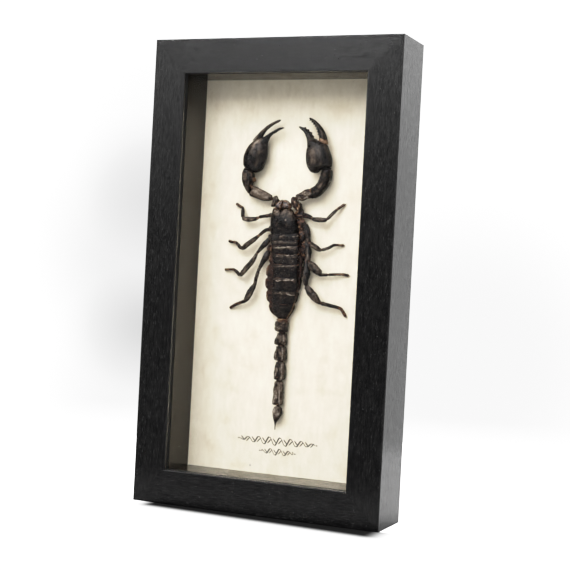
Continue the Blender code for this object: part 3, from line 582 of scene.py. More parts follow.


# Tone over rings: a base, streaks along the limb and small clouds, spots, a painted highlight line on
# each ridge. Paler tones show only on top (painted highlight); the sides fade to a painted shade tone.
def limbTone(rings, raised, base, spots, seed, mottle=0.2, ridgeHighlight=1.3, side=0.04):
    middle = rings.mean(axis=1, keepdims=True)
    girth = np.linalg.norm(rings - middle, axis=2).mean(axis=1, keepdims=True)
    flat = grid(reached(middle[:, 0])[:, None], turns(rings.shape[1]) * girth, 0)
    tone = base + mottle * (cloud(flat, (2.2, 0.55, 1), seed) + 0.7 * cloud(rings, 0.65, seed + 1))
    tone = tone + spotTone(rings, spots) - ridgeHighlight * raised
    # painted highlight and shade: pale tones kept on the top only, brown tones darker down the sides
    low, high = rings[..., 1].min(axis=1, keepdims=True), rings[..., 1].max(axis=1, keepdims=True)
    top = held(((rings[..., 1] - low) / (high - low) - 0.62) / 0.22)
    return np.where(tone < 0, tone * top, tone * (0.35 + 0.65 * top)) + side * (1 - top)


# How full a section is at a distance from each end of a limb: a quarter circle over the end's length.
def roundedEnds(at, length, ends):
    near, far = held(at / ends[0]), held((length - at) / ends[1])
    return np.maximum(np.sqrt(1 - (1 - near) ** 2) * np.sqrt(1 - (1 - far) ** 2), 0.06)


# Rings of a limb from stations (edge ax, az, edge bx, bz, middle height, half thickness). Each ring
# runs from edge b over the top to edge a and back underneath: an ellipse, or squarer above 2.
# A ridge (angle, height, width, pitch, from, to) swells the section outwards at its angle, in beads
# where it has a pitch. Lumps are a slow random swelling. The height of the ridges comes back too.
def limbRings(stations, around=48, square=2.0, ends=(0.6, 0.6), ridges=(), lumps=(0.05, 1.2), seed=1):
    table = np.array(stations, float)
    places = reached((table[:, 0:2] + table[:, 2:4]) / 2)
    length = places[-1]
    share = np.linspace(0, 1, int(length / 0.28) + 14)
    share = 0.55 * share + 0.45 * (1 - np.cos(math.pi * share)) / 2  # closer together at the ends
    at = share * length
    ax, az, bx, bz, height, half = tableAt(places, table, at).T[..., None]
    turn = turns(around)
    across, up = section(turn, 2 / square)
    fill = roundedEnds(at, length, ends)[:, None]
    offset = grid((bx - ax) / 2 * across, half * up, (bz - az) / 2 * across) * fill[..., None]
    rings = grid((ax + bx) / 2, height, (az + bz) / 2) + offset
    grow = np.zeros(rings.shape[:2])
    for angle, high, width, pitch, start, stop in ridges:
        gap = np.abs((turn - math.radians(angle) + math.pi) % (2 * math.pi) - math.pi)
        run = bell(np.maximum(0, np.maximum(start - share, share - stop)) * length, 0.4)
        beads = np.abs(np.sin(math.pi * at / pitch)) ** 1.5 if pitch else 1.0
        grow = grow + high * bell(gap, math.radians(width)) * (run * beads)[:, None]
    raised = grow * fill
    grow = grow + lumps[0] * cloud(rings, lumps[1], seed)
    rings = rings + unit(offset) * (grow * fill)[..., None]
    rings[..., 1] = np.maximum(rings[..., 1], 0.06)
    return rings, raised


# Ridges that are alike but for their angles.
def ridgesAt(angles, height, width, pitch=0, start=0, stop=1):
    return [(angle, height, width, pitch, start, stop) for angle in angles]


# Rings of an egg: centre (x, height, z) and its three half sizes, round an axis along z.
def eggRings(centre, sizes, around=24, rows=16):
    lat = np.linspace(0.04, math.pi - 0.04, rows)[:, None]
    across, up = section(turns(around))
    return np.array(centre) + np.array(sizes) * grid(np.sin(lat) * across, np.sin(lat) * up, np.cos(lat))


# An egg with a lumpy skin: each point moves away from the centre by its share of a cloud.
def lumpyEgg(centre, sizes, lump, cell, seed, around=24, rows=16):
    egg = eggRings(centre, sizes, around, rows)
    return egg + (egg - np.array(centre)) * (lump * cloud(egg, cell, seed))[..., None]


# Rings along a path (points in rows) with a radius at each: a circle across the path, flattened in
# height by flat and squared above 2.
def tubeRings(path, radius, around=24, flat=1.0, square=2.0):
    way = unit(np.gradient(path, axis=0))
    side = unit(np.cross(way, (0.0, 1.0, 0.0)))
    across, up = section(turns(around)[:, None], 2 / square)
    offset = side[:, None] * across + np.cross(side, way)[:, None] * up * flat
    return path[:, None] + offset * np.asarray(radius)[:, None, None]


# A thorn: a tube along a quarter-bent path from start, along a direction, bending towards bend.
def thorn(start, direction, bend, length, radius, around=8, rows=7):
    share = np.linspace(0, 1, rows)[:, None]
    path = np.array(start) + length * (np.array(direction) * share + np.array(bend) * share**2)
    return tubeRings(path, radius * (1 - share[:, 0] ** 1.6 * 0.92), around)


bristleSets = []  # rings that bristles grow from, with how many and how long


# Remembers a surface that bears bristles.
def growOn(rings, count, length):
    bristleSets.append((rings, count, length))


# The hands and the arms

# negative tones and spots are paler only on a limb's top: painted highlight
arms = {
    "arm_base_left": {
        "stations": [
            (-5.1, 171.9, -6.8, 171.0, 4.2, 1.0), (-4.5, 170.7, -7.2, 169.1, 4.2, 1.9),
            (-3.4, 168.8, -7.6, 167.3, 4.2, 2.3), (-4.0, 167.0, -8.0, 165.7, 4.1, 2.2),
            (-5.2, 165.7, -7.5, 165.0, 3.9, 1.6)],
        "ridges": [*ridgesAt((60, 130), 0.30, 11), (95, 0.26, 11, 0, 0, 1)],
        "spots": [(-4.4, 168.9, 0.9, 0.45), (-7.8, 165.8, 0.7, 0.6), (-5.6, 166.2, 0.7, 0.45)],
        "tone": -0.08, "mottle": 0.32,
    },
    "arm_upper_left": {
        "stations": [
            (-7.7, 171.5, -8.5, 168.4, 4.2, 1.8), (-11.4, 173.5, -12.0, 168.4, 4.4, 2.2),
            (-15.2, 175.1, -15.8, 169.3, 4.6, 2.5), (-18.4, 176.3, -19.3, 170.4, 4.7, 2.6),
            (-19.8, 175.9, -20.6, 171.0, 4.7, 2.1)],
        "ridges": [*ridgesAt((20, 160), 0.22, 9, 0.55, 0.05, 0.95), (88, 0.10, 14, 0.7, 0.3, 0.95)],
        "spots": [(-19.9, 174.6, 1.1, 0.9), (-8.3, 169.8, 0.9, 0.6), (-19.0, 171.6, 1.2, 0.3),
                  (-13.0, 170.0, 1.6, 0.2), (-16.6, 171.0, 1.6, 0.2)],
        "tone": -0.60,
    },
    "arm_lower_left": {
        "stations": [
            (-21.4, 171.6, -20.1, 176.0, 4.7, 2.3), (-23.1, 173.8, -19.9, 177.0, 4.8, 2.7),
            (-24.8, 176.5, -19.5, 178.5, 4.9, 3.1), (-25.9, 179.6, -18.8, 180.4, 5.0, 3.3),
            (-26.0, 182.6, -19.0, 182.9, 5.0, 3.2), (-25.6, 185.7, -20.8, 184.7, 5.0, 2.7)],
        "ridges": [(150, 0.2, 10, 0.6, 0.05, 0.95), (95, 0.16, 9, 0.6, 0.1, 0.9),
                   (35, 0.16, 10, 0.6, 0.1, 0.9)],
        "spots": [(-19.9, 176.4, 0.9, 0.8), (-18.9, 180.2, 0.8, 0.8), (-19.6, 178.3, 0.7, 0.5),
                  (-23.4, 181.5, 1.6, -0.2)],
        "tone": -0.16, "mottle": 0.28,
    },
    "arm_base_right": {
        "stations": [
            (5.2, 171.8, 7.3, 169.3, 4.0, 1.7), (3.6, 170.0, 8.9, 168.1, 4.1, 2.5),
            (3.6, 167.8, 9.9, 166.7, 4.0, 2.8), (4.6, 165.9, 10.2, 165.2, 3.7, 2.6),
            (6.2, 164.1, 10.3, 163.8, 3.3, 2.1), (7.4, 163.0, 9.8, 162.9, 3.0, 1.5)],
        "ridges": ridgesAt((35, 130), 0.34, 10) + ridgesAt((68, 98), 0.34, 9),
        "spots": [(6.8, 168.2, 0.9, 0.5), (8.6, 165.0, 1.5, 0.6), (5.2, 170.6, 0.6, 0.4),
                  (5.6, 166.4, 0.7, 0.4)],
        "tone": 0.24, "mottle": 0.46,
    },
    "arm_upper_right": {
        "stations": [
            (5.8, 171.9, 7.5, 169.2, 4.2, 1.5), (9.2, 173.6, 10.2, 169.0, 4.4, 2.0),
            (12.6, 175.4, 13.4, 170.2, 4.6, 2.4), (14.7, 175.6, 16.4, 170.8, 4.7, 2.3)],
        "ridges": [*ridgesAt((20, 160), 0.22, 9, 0.55, 0.05, 0.95), (92, 0.10, 14, 0.7, 0.3, 0.95)],
        "spots": [(14.0, 175.0, 1.0, 1.0), (7.6, 171.0, 1.6, 0.5), (15.0, 171.6, 0.7, 0.7),
                  (10.6, 171.6, 1.4, 0.4)],
        "tone": -0.66, "mottle": 0.4,
    },
    "arm_lower_right": {
        "stations": [
            (15.0, 176.2, 16.9, 170.3, 4.7, 2.3), (16.9, 177.1, 20.5, 172.0, 4.8, 2.8),
            (18.6, 178.5, 23.5, 175.1, 4.9, 3.2), (19.9, 180.7, 25.9, 179.2, 5.0, 3.4),
            (20.5, 183.0, 26.9, 182.9, 5.0, 3.4), (21.2, 186.0, 26.9, 186.3, 5.0, 3.0)],
        "ridges": [(30, 0.2, 10, 0.6, 0.05, 0.95), (85, 0.16, 9, 0.6, 0.1, 0.9),
                   (145, 0.16, 10, 0.6, 0.1, 0.9)],
        "spots": [(15.4, 175.4, 0.9, 0.9), (20.6, 181.6, 0.8, 0.4), (21.5, 177.5, 1.6, -0.3)],
        "tone": -0.06, "mottle": 0.26,
    },
}

# negative spots paint paler patches of sheen on the hands: painted highlights where light falls
hands = {
    "hand_left": {
        "stations": [
            (-20.8, 184.2, -17.6, 183.6, 5.0, 1.6), (-24.4, 186.2, -14.7, 185.2, 5.0, 3.5),
            (-25.6, 188.7, -13.0, 188.0, 5.1, 4.3), (-25.5, 191.8, -11.8, 191.8, 5.3, 4.7),
            (-24.7, 194.8, -11.3, 195.2, 5.3, 4.6), (-23.4, 197.5, -11.4, 198.2, 5.2, 4.1),
            (-21.8, 199.6, -11.6, 200.2, 5.1, 3.4), (-19.2, 201.4, -11.3, 201.6, 5.0, 2.7),
            (-15.6, 203.0, -10.9, 202.9, 4.9, 2.0), (-12.4, 204.9, -10.2, 204.0, 4.8, 1.3),
            (-8.6, 207.1, -7.9, 205.7, 4.7, 0.9), (-5.3, 208.5, -4.9, 207.4, 4.6, 0.6),
            (-2.6, 209.0, -2.5, 208.6, 4.5, 0.25)],
        "ridges": [(147, 0.42, 7, 0, 0.03, 0.62), (62, 0.16, 10, 0, 0.1, 0.45),
                   (105, 0.14, 12, 0, 0.3, 0.6),
                   (18, 0.22, 8, 0, 0.1, 0.6), (180, 0.22, 30, 1.5, 0.74, 0.98)],
        "spots": [(-17.3, 199.9, 1.9, -0.55), (-16.9, 199.0, 0.6, 0.9), (-18.2, 201.9, 0.5, -0.5),
                  (-18.5, 197.5, 2.2, -0.18), (-12.6, 195.0, 1.3, -0.22), (-12.9, 191.0, 1.2, -0.16),
                  (-16.0, 201.5, 1.6, -0.25), (-20.0, 189.5, 3.8, 0.08)],
        "tone": -0.06, "mottle": 0.11, "bristles": 60,
    },
    "finger_left": {
        "stations": [
            (-21.4, 201.0, -15.2, 202.9, 5.1, 2.0), (-19.6, 203.2, -14.7, 204.0, 5.0, 2.0),
            (-17.5, 205.6, -14.0, 205.7, 4.9, 1.7), (-15.3, 207.8, -12.9, 207.2, 4.8, 1.4),
            (-12.9, 209.8, -11.2, 208.7, 4.7, 1.1), (-9.9, 211.6, -8.9, 210.3, 4.6, 0.8),
            (-7.2, 212.8, -6.7, 211.6, 4.5, 0.6), (-4.9, 213.3, -4.8, 212.6, 4.4, 0.35)],
        "ridges": [(0, 0.2, 30, 1.5, 0.2, 0.96), (100, 0.22, 12, 0, 0.0, 0.8)],
        "spots": [(-18.6, 202.0, 0.7, -0.4), (-15.8, 203.8, 0.8, 0.3)], "tone": -0.22, "bristles": 30,
    },
    "hand_right": {
        "stations": [
            (15.2, 184.2, 18.2, 184.0, 5.0, 1.6), (13.6, 185.8, 20.0, 185.8, 5.0, 3.3),
            (12.9, 187.2, 21.4, 187.2, 5.1, 4.1), (12.4, 188.6, 26.5, 188.1, 5.2, 4.5),
            (11.7, 191.4, 26.8, 190.8, 5.3, 4.8), (11.6, 194.2, 25.9, 194.2, 5.3, 4.7),
            (11.9, 197.0, 24.6, 197.0, 5.2, 4.3), (12.0, 199.2, 23.5, 199.4, 5.1, 3.7),
            (11.8, 201.2, 18.6, 201.6, 5.0, 2.9), (11.3, 203.1, 15.3, 203.1, 4.9, 2.0),
            (10.1, 205.0, 13.4, 205.9, 4.8, 1.4), (8.8, 206.5, 11.0, 207.8, 4.7, 1.1),
            (7.2, 207.9, 8.5, 209.0, 4.6, 0.8), (5.7, 209.1, 6.2, 209.7, 4.5, 0.4)],
        "ridges": [(30, 0.30, 9, 0, 0.1, 0.6), (164, 0.22, 8, 0, 0.1, 0.75), (70, 0.10, 12, 0, 0.12, 0.5),
                   (0, 0.75, 26, 1.9, 0.62, 0.92)],
        "spots": [(16.8, 195.0, 2.6, -0.42), (17.4, 190.0, 2.2, -0.30), (14.2, 202.0, 1.2, -0.25),
                  (24.5, 192.0, 3.4, 0.12), (26.0, 190.0, 1.6, 0.2)],
        "tone": -0.08, "mottle": 0.12, "bristles": 60,
    },
    "finger_right": {
        "stations": [
            (18.3, 201.2, 24.0, 199.2, 5.0, 2.6), (18.4, 203.6, 23.2, 202.4, 5.0, 2.3),
            (18.0, 205.4, 22.2, 205.2, 4.9, 2.0), (17.2, 207.4, 20.7, 207.7, 4.8, 1.7),
            (16.2, 209.3, 19.0, 209.8, 4.7, 1.4), (14.7, 211.2, 16.7, 212.0, 4.6, 1.0),
            (13.1, 212.8, 14.3, 213.5, 4.5, 0.7), (11.5, 213.9, 11.9, 214.5, 4.4, 0.35)],
        "ridges": [(180, 0.85, 26, 1.9, 0.2, 0.92), (80, 0.2, 12, 0, 0.15, 0.8)],
        "spots": [(20.5, 206.0, 1.2, -0.2)], "cuff": (2.6, 0.68), "tone": -0.08, "bristles": 30,
    },
}

# soft skin that bulges out of a joint: (x, height, z), half sizes, tone
jointSkins = {
    "arm_upper_left": [
        ((-19.5, 4.6, 175.3), (1.2, 1.8, 1.3), 0.62), ((-8.0, 4.4, 169.9), (0.7, 1.4, 1.1), 0.35),
        ((-20.5, 4.6, 172.4), (0.9, 1.7, 1.7), 0.08)],
    "arm_lower_left": [
        ((-19.0, 4.7, 180.0), (0.9, 1.8, 1.4), 0.62), ((-22.6, 4.8, 185.5), (2.9, 2.2, 1.5), 0.05)],
    "arm_upper_right": [((15.0, 4.6, 174.6), (1.0, 1.9, 1.5), 0.62),
                        ((6.6, 4.5, 170.4), (0.8, 1.4, 1.1), 0.4),
                        ((16.2, 4.6, 171.8), (0.9, 1.7, 1.4), 0.08)],
    "arm_lower_right": [((23.2, 4.8, 186.6), (2.9, 2.3, 1.4), 0.05)],
    "finger_left": [((-17.6, 5.0, 202.0), (1.8, 1.7, 1.0), 0.25)],
}


# what each kind of limb shares: points round it, squareness, lumps and finish
armLook = {"around": 48, "square": 2.3, "lumps": (0.14, 0.9), "finish": shellBlack}
handLook = {"around": 64, "square": 2.0, "lumps": (0.12, 1.5), "finish": shellSmooth}


def makeArms():
    for number, (name, arm) in enumerate({**arms, **hands}.items()):
        look = handLook if name in hands else armLook
        rings, raised = limbRings(arm["stations"], look["around"], look["square"], ridges=arm["ridges"],
                                  lumps=look["lumps"], seed=number + 3)
        tone = limbTone(rings, raised, arm["tone"], arm["spots"], number + 140, arm.get("mottle", 0.2))
        if "cuff" in arm:  # a band of thin skin round the limb's start
            reach, amount = arm["cuff"]
            far = np.linalg.norm(rings.mean(axis=1) - rings[1].mean(axis=0), axis=1)[:, None]
            tone = tone + amount * held((reach - far) / 0.5)
        skins = [ringSkin(rings, tone)]
        for centre, sizes, shade in jointSkins.get(name, []):
            skins.append(ringSkin(lumpyEgg(centre, sizes, 0.12, 0.7, number + 40), shade))
        growOn(rings, arm.get("bristles", 24), 0.9)
        makePiece(name + "_shell", skins, look["finish"], name)


makeArms()
print("arms and hands made")


# The jaws: two blocky segments side by side, each with a fixed and a moving tooth in front

jaws = {
    "chelicera_left": {
        "stations": [
            (-5.2, 164.7, -0.9, 164.3, 4.9, 2.2), (-4.7, 165.9, -0.8, 165.9, 5.0, 2.3),
            (-3.9, 167.3, -0.7, 167.3, 4.9, 1.9), (-3.1, 168.6, -0.7, 168.6, 4.7, 1.3),
            (-2.2, 169.5, -0.9, 169.5, 4.5, 0.6)],
        "teeth": [((-3.0, 5.2, 167.6), (0.45, -0.25, 0.85), (0.25, -0.15, 0.0)),
                  ((-1.7, 5.3, 167.6), (0.1, -0.3, 0.9), (-0.1, -0.1, 0.0))],
    },
    "chelicera_right": {
        "stations": [
            (-0.9, 164.3, 4.6, 164.7, 4.9, 2.2), (-0.8, 165.9, 4.4, 165.9, 5.0, 2.4),
            (-0.7, 167.3, 3.7, 167.3, 4.9, 2.0), (-0.7, 168.6, 2.5, 168.5, 4.7, 1.3),
            (-0.6, 169.5, 1.1, 169.4, 4.5, 0.6)],
        "teeth": [((0.4, 5.3, 167.6), (-0.1, -0.3, 0.9), (0.1, -0.1, 0.0)),
                  ((2.0, 5.2, 167.6), (-0.45, -0.25, 0.85), (-0.25, -0.15, 0.0))],
    },
}


jawLook = {
    "square": 2.6, "lumps": (0.16, 0.9), "ridges": ridgesAt((60, 125), 0.3, 14, stop=0.8),
    "tone": 0.36, "toothTone": 0.16, "tooth": (2.1, 0.55),  # a tooth's length and radius
}


def makeJaws():
    look = jawLook
    for number, (name, jaw) in enumerate(jaws.items()):
        rings, _ = limbRings(jaw["stations"], 40, look["square"], ridges=look["ridges"],
                             lumps=look["lumps"], seed=number + 60)
        patches = 0.36 * cloud(rings, 0.75, number + 61) + 0.16 * cloud(rings, 0.4, number + 63)
        skins = [ringSkin(rings, look["tone"] + patches)]
        for start, way, bend in jaw["teeth"]:
            skins.append(ringSkin(thorn(start, way, bend, *look["tooth"], 12), look["toothTone"]))
        growOn(rings, 20, 0.7)
        makePiece(name + "_shell", skins, shellGloss, name)


makeJaws()
print("jaws made")


# The shield over the front of the body

shield = {
    # z, left, right, height of the crown
    "stations": [
        (165.2, -5.9, 2.9, 5.5), (164.3, -6.7, 4.2, 6.5), (162.5, -7.2, 5.6, 7.4),
        (159.5, -7.6, 7.3, 8.2),
        (156.0, -7.8, 8.6, 8.6), (153.0, -7.7, 9.1, 8.6), (150.6, -7.4, 9.1, 8.0)],
    "rim": 4.2,  # height of its rim
    "floor": 0.8,  # width of its underside, as a share of its own
    "foot": 0.4,  # height of its underside
    "notch": (-1.2, 1.3, 1.6),  # x, width and depth of the bay in the front edge
    "mound": (-1.0, 156.8, 1.5, 2.3, 0.85),  # x, z, half width, half length, height
    "eye": 0.46,
    "sideEyes": ((-1, -6.45), (1, 4.1)),  # which way they run, and x of the first
    # x, z, radius, amount: negative amounts are painted glints and pale highlight patches
    "marksAndGlints": [(2.5, 158.2, 0.42, -0.85), (-2.0, 156.6, 0.6, -0.4), (-2.6, 155.2, 0.5, -0.25),
              (-0.2, 154.6, 0.6, 0.25), (-1.2, 153.4, 0.5, -0.2), (3.6, 155.6, 0.9, -0.14),
              (6.0, 158.0, 0.9, -0.16)],
}


# Height of the shield's skin is rim + (crown - rim) sin(turn)^0.8 over the arch; furrows and the
# mound are added to it, then the section goes down its sides and back under.
def makeShield():
    look = shield
    table = np.array(look["stations"])
    front, rear = table[0, 0], table[-1, 0]
    z = np.linspace(front, rear, 74)
    left, right, crown = tableAt(-table[:, 0], table[:, 1:], -z).T[..., None]
    middle, half = (left + right) / 2, (right - left) / 2
    rim, foot = look["rim"], look["foot"]
    turn = np.linspace(0, math.pi, 91)
    x = middle + half * np.cos(turn)
    height = rim + (crown - rim) * np.sin(turn) ** 0.8
    depth = z[:, None] + 0 * x
    eyeX, eyeZ, moundX, moundZ, moundUp = look["mound"]
    height += moundUp * bell(np.hypot((x - eyeX) / moundX, (depth - eyeZ) / moundZ), 0.8)
    # the furrow along the middle, which opens into a V in front, and two broad ones behind the mound
    off = x - (middle * 0.4 - 0.9 + 0.1 * np.sin(depth * 1.3))
    opening = 0.10 * np.clip(depth - 160.5, 0, 5)
    behind = held(155.4 - depth)
    height -= (0.26 + opening) * bell(off, 0.34 + 1.6 * opening) * held(depth - 158.6)
    height -= 0.16 * bell(off, 0.3) * behind
    for way in (-1, 1):
        height -= 0.16 * bell(off - way * (1.5 + (155.6 - depth) * 0.55), 0.8) * behind
        height -= 0.20 * bell(off - way * (1.9 + (159.5 - depth) * 0.25), 0.6) * bell(depth - 159.0, 2.4)
        height -= 0.22 * bell(off - way * 4.6, 1.1) * bell(depth - 159.8, 0.7)
    spots = grid(x, height, depth)
    rough = 0.35 + 0.65 * np.abs(np.cos(turn)) ** 1.5
    height += rough * 0.025 * cloud(spots, 0.5, 5)
    height += 0.05 * cloud(spots, 1.3, 7) + 0.14 * cloud(spots, 2.6, 6)

    # down the sides and back under
    floorHalf = half * look["floor"]
    steps = np.linspace(0, 1, 9)[1:]
    sideHeight = rim + (foot - rim) * steps + 0 * half
    inward = (half - floorHalf) * steps**0.7
    under = middle + floorHalf * np.linspace(-1, 1, 14)[1:-1]
    ringX = np.concatenate([x, middle - half + inward, under, (middle + half - inward)[:, ::-1]], axis=1)
    ringH = np.concatenate([height, sideHeight, 0 * under + foot, sideHeight[:, ::-1]], axis=1)
    ringZ = z[:, None] + 0 * ringX
    bayX, bayWidth, bayDepth = look["notch"]
    ringZ -= bayDepth * bell(ringX - bayX, bayWidth) * bell(np.minimum(ringZ - front, 0), 1.8)
    centre = grid(middle, 3.0, z[:, None])
    shrink = roundedEnds(front - z, front - rear, (0.7, 0.3))[:, None]
    rings = centre + (grid(ringX, ringH, ringZ) - centre) * (0.8 + 0.2 * grid(shrink, shrink, 1))

    # the front third is painted paler outside the furrow, a painted highlight on its top, and the sides
    # below the rim are browner
    up, far = rings[..., 1], rings[..., 2]
    lip = bell(far - 164.6, 0.9) * (up > 4.5)
    frontHighlight = held((far - 159.2) / 2.4) * np.clip((165.4 - far) / 1.4, 0.2, 1)
    frontHighlight *= 1 - 0.9 * bell(rings[..., 0] + 1.2, 0.5 + 0.25 * np.clip(far - 161, 0, 5))
    patches = 0.09 * cloud(rings, 1.6, 9) + 0.13 * cloud(rings, 0.8, 10)
    tone = -0.04 - (0.33 - 1.7 * patches) * frontHighlight * (up > 5.0) + patches
    tone += (0.75 + 3.0 * patches) * lip + 0.18 * (up < 4.4) + spotTone(rings, look["marksAndGlints"])
    skins = [ringSkin(rings, tone)]
    for way, side in look["sideEyes"]:  # a middle eye and three small ones on each side
        spot = (eyeX + way * 0.72, rim + 4.8, eyeZ + 0.2)
        skins.append(ringSkin(eggRings(spot, (look["eye"],) * 3), 0.0))
        for number in range(3):
            spot = (side + way * number * 0.28, 5.15 - number * 0.12, 163.6 - number * 0.62)
            skins.append(ringSkin(eggRings(spot, (0.24,) * 3, 12, 8), 0.1))
    growOn(rings, 30, 0.5)
    makePiece("carapace_shell", skins, shellBlack, "carapace")


makeShield()
print("shield made")


# The abdomen: eight overlapping plates over a soft belly that bulges at both sides

abdomen = {
    "plateEnds": (150.6, 147.2, 144.4, 139.8, 134.2, 126.9, 119.8, 112.6, 104.4),
    # z, plate left, plate right, belly left, belly right, crown
    "stations": [
        (151.6, -6.5, 8.8, -7.0, 9.2, 7.6), (150.6, -6.7, 9.2, -7.2, 9.6, 7.9),
        (147.2, -6.5, 9.7, -7.6, 10.3, 8.1), (144.4, -6.1, 9.9, -7.8, 10.9, 8.2),
        (139.8, -5.3, 10.2, -7.9, 11.6, 8.3),
        (134.2, -4.4, 10.5, -8.6, 12.1, 8.4), (130.0, -3.9, 10.7, -9.4, 12.2, 8.5),
        (123.4, -3.8, 10.8, -9.7, 11.5, 8.4), (119.8, -3.9, 10.6, -9.1, 10.9, 8.1),
        (115.0, -4.1, 9.6, -8.6, 9.6, 7.5), (112.0, -3.9, 8.6, -7.5, 8.6, 7.0),
        (109.0, -3.8, 7.5, -6.6, 7.4, 6.3), (107.0, -3.0, 6.3, -5.2, 6.2, 5.7),
        (105.2, -1.4, 4.8, -2.6, 5.0, 5.1), (104.2, -0.8, 4.2, -1.5, 4.3, 4.5)],
    "shoulder": 0.66,  # height of a plate's side edges, as a share of the crown's
    "step": 0.55,  # how much lower a plate starts, under the one before it
    "climb": 2.4,  # length over which a plate climbs out from under the one before it
    "thickness": 0.5,
    "pinch": 1.1,  # how far the belly is drawn in between the plates
    # how brown the skin is that shows at each plate's front edge, and how wrinkled its front is
    "bands": (0.20, 0.40, 0.60, 0.70, 0.80, 0.70, 0.35, 0.45),
    "wrinkled": (1.0, 0.7, 1.1, 1.1, 0.8, 1.0, 0.9, 0.3),
    "edges": (0.2, 0.2, 0.2, 0.25, 0.3, 0.3, 0.4, 0.75),  # how brown a plate's side edges are
    "paleHighlightStrokes": [  # pale wrinkles across the plates, a little raised, their paleness a painted highlight: x and z of both ends, how pale
        (4.0, 148.4, 9.4, 149.8, 1.1), (-3.4, 146.4, 2.4, 146.7, 0.6), (3.0, 146.7, 8.4, 147.3, 0.35),
        (-3.2, 142.9, 10.0, 144.0, 0.8), (-1.7, 138.2, 3.0, 138.8, 0.6), (3.0, 138.7, 10.2, 139.7, 1.0),
        (-1.6, 132.6, 10.0, 133.6, 0.5), (-1.4, 124.7, 9.6, 126.1, 1.0), (0.5, 125.7, 6.5, 126.5, 0.5),
        (-0.6, 118.3, 2.4, 118.0, 0.6), (4.6, 117.9, 9.4, 117.5, 0.9), (1.5, 115.6, 4.4, 115.9, 0.4)],
    "rubbed": (0.0, 0.14, 0.14, 0.12, 0.14, 0.12, 0.12, 0.06),  # how pale a plate's front is, a painted highlight where it climbs
}


def abdomenAt(z):
    table = np.array(abdomen["stations"])
    return tableAt(-table[:, 0], table[:, 1:], -z).T[..., None]


# The belly: squarish sections from the paper up to the plates' shoulders, drawn in between plates.
def bellySkin():
    look = abdomen
    z = np.linspace(151.2, 104.3, 170)
    _, _, left, right, crown = abdomenAt(z)
    gap = np.abs(z[:, None] - np.array(look["plateEnds"][1:-1])).min(axis=1)[:, None]
    pinch = look["pinch"] * bell(gap, 0.9)
    left, right = left + pinch, right - pinch * 0.6
    top = crown * look["shoulder"] + 0.25
    turn = turns(72)
    across, up = section(turn, 0.75)
    height = (top + 0.3) / 2 + (top - 0.3) / 2 * up
    rings = grid((left + right) / 2 + (right - left) / 2 * across, height, z[:, None])
    folds = 0.16 * cloud(rings, (1.1, 0.8, 0.45), 21) + 0.1 * cloud(rings, (0.5, 0.4, 0.9), 22)
    rings[..., 0] += folds * across
    rings[..., 1] = np.maximum(rings[..., 1] + 0.4 * folds * up, 0.2)
    line = bell(turn - math.pi * 0.86, 0.09) + bell(turn - math.pi * 0.14, 0.09)
    tone = 0.22 + 0.14 * np.abs(across) ** 6 + 0.45 * line * held(gap - 0.6)
    tone = (tone + 0.16 * cloud(rings, 1.0, 23)) * np.where(across > 0, 0.55, 1.0)  # painted shade: darker on the right, where the legs shade it
    return ringSkin(rings, tone)


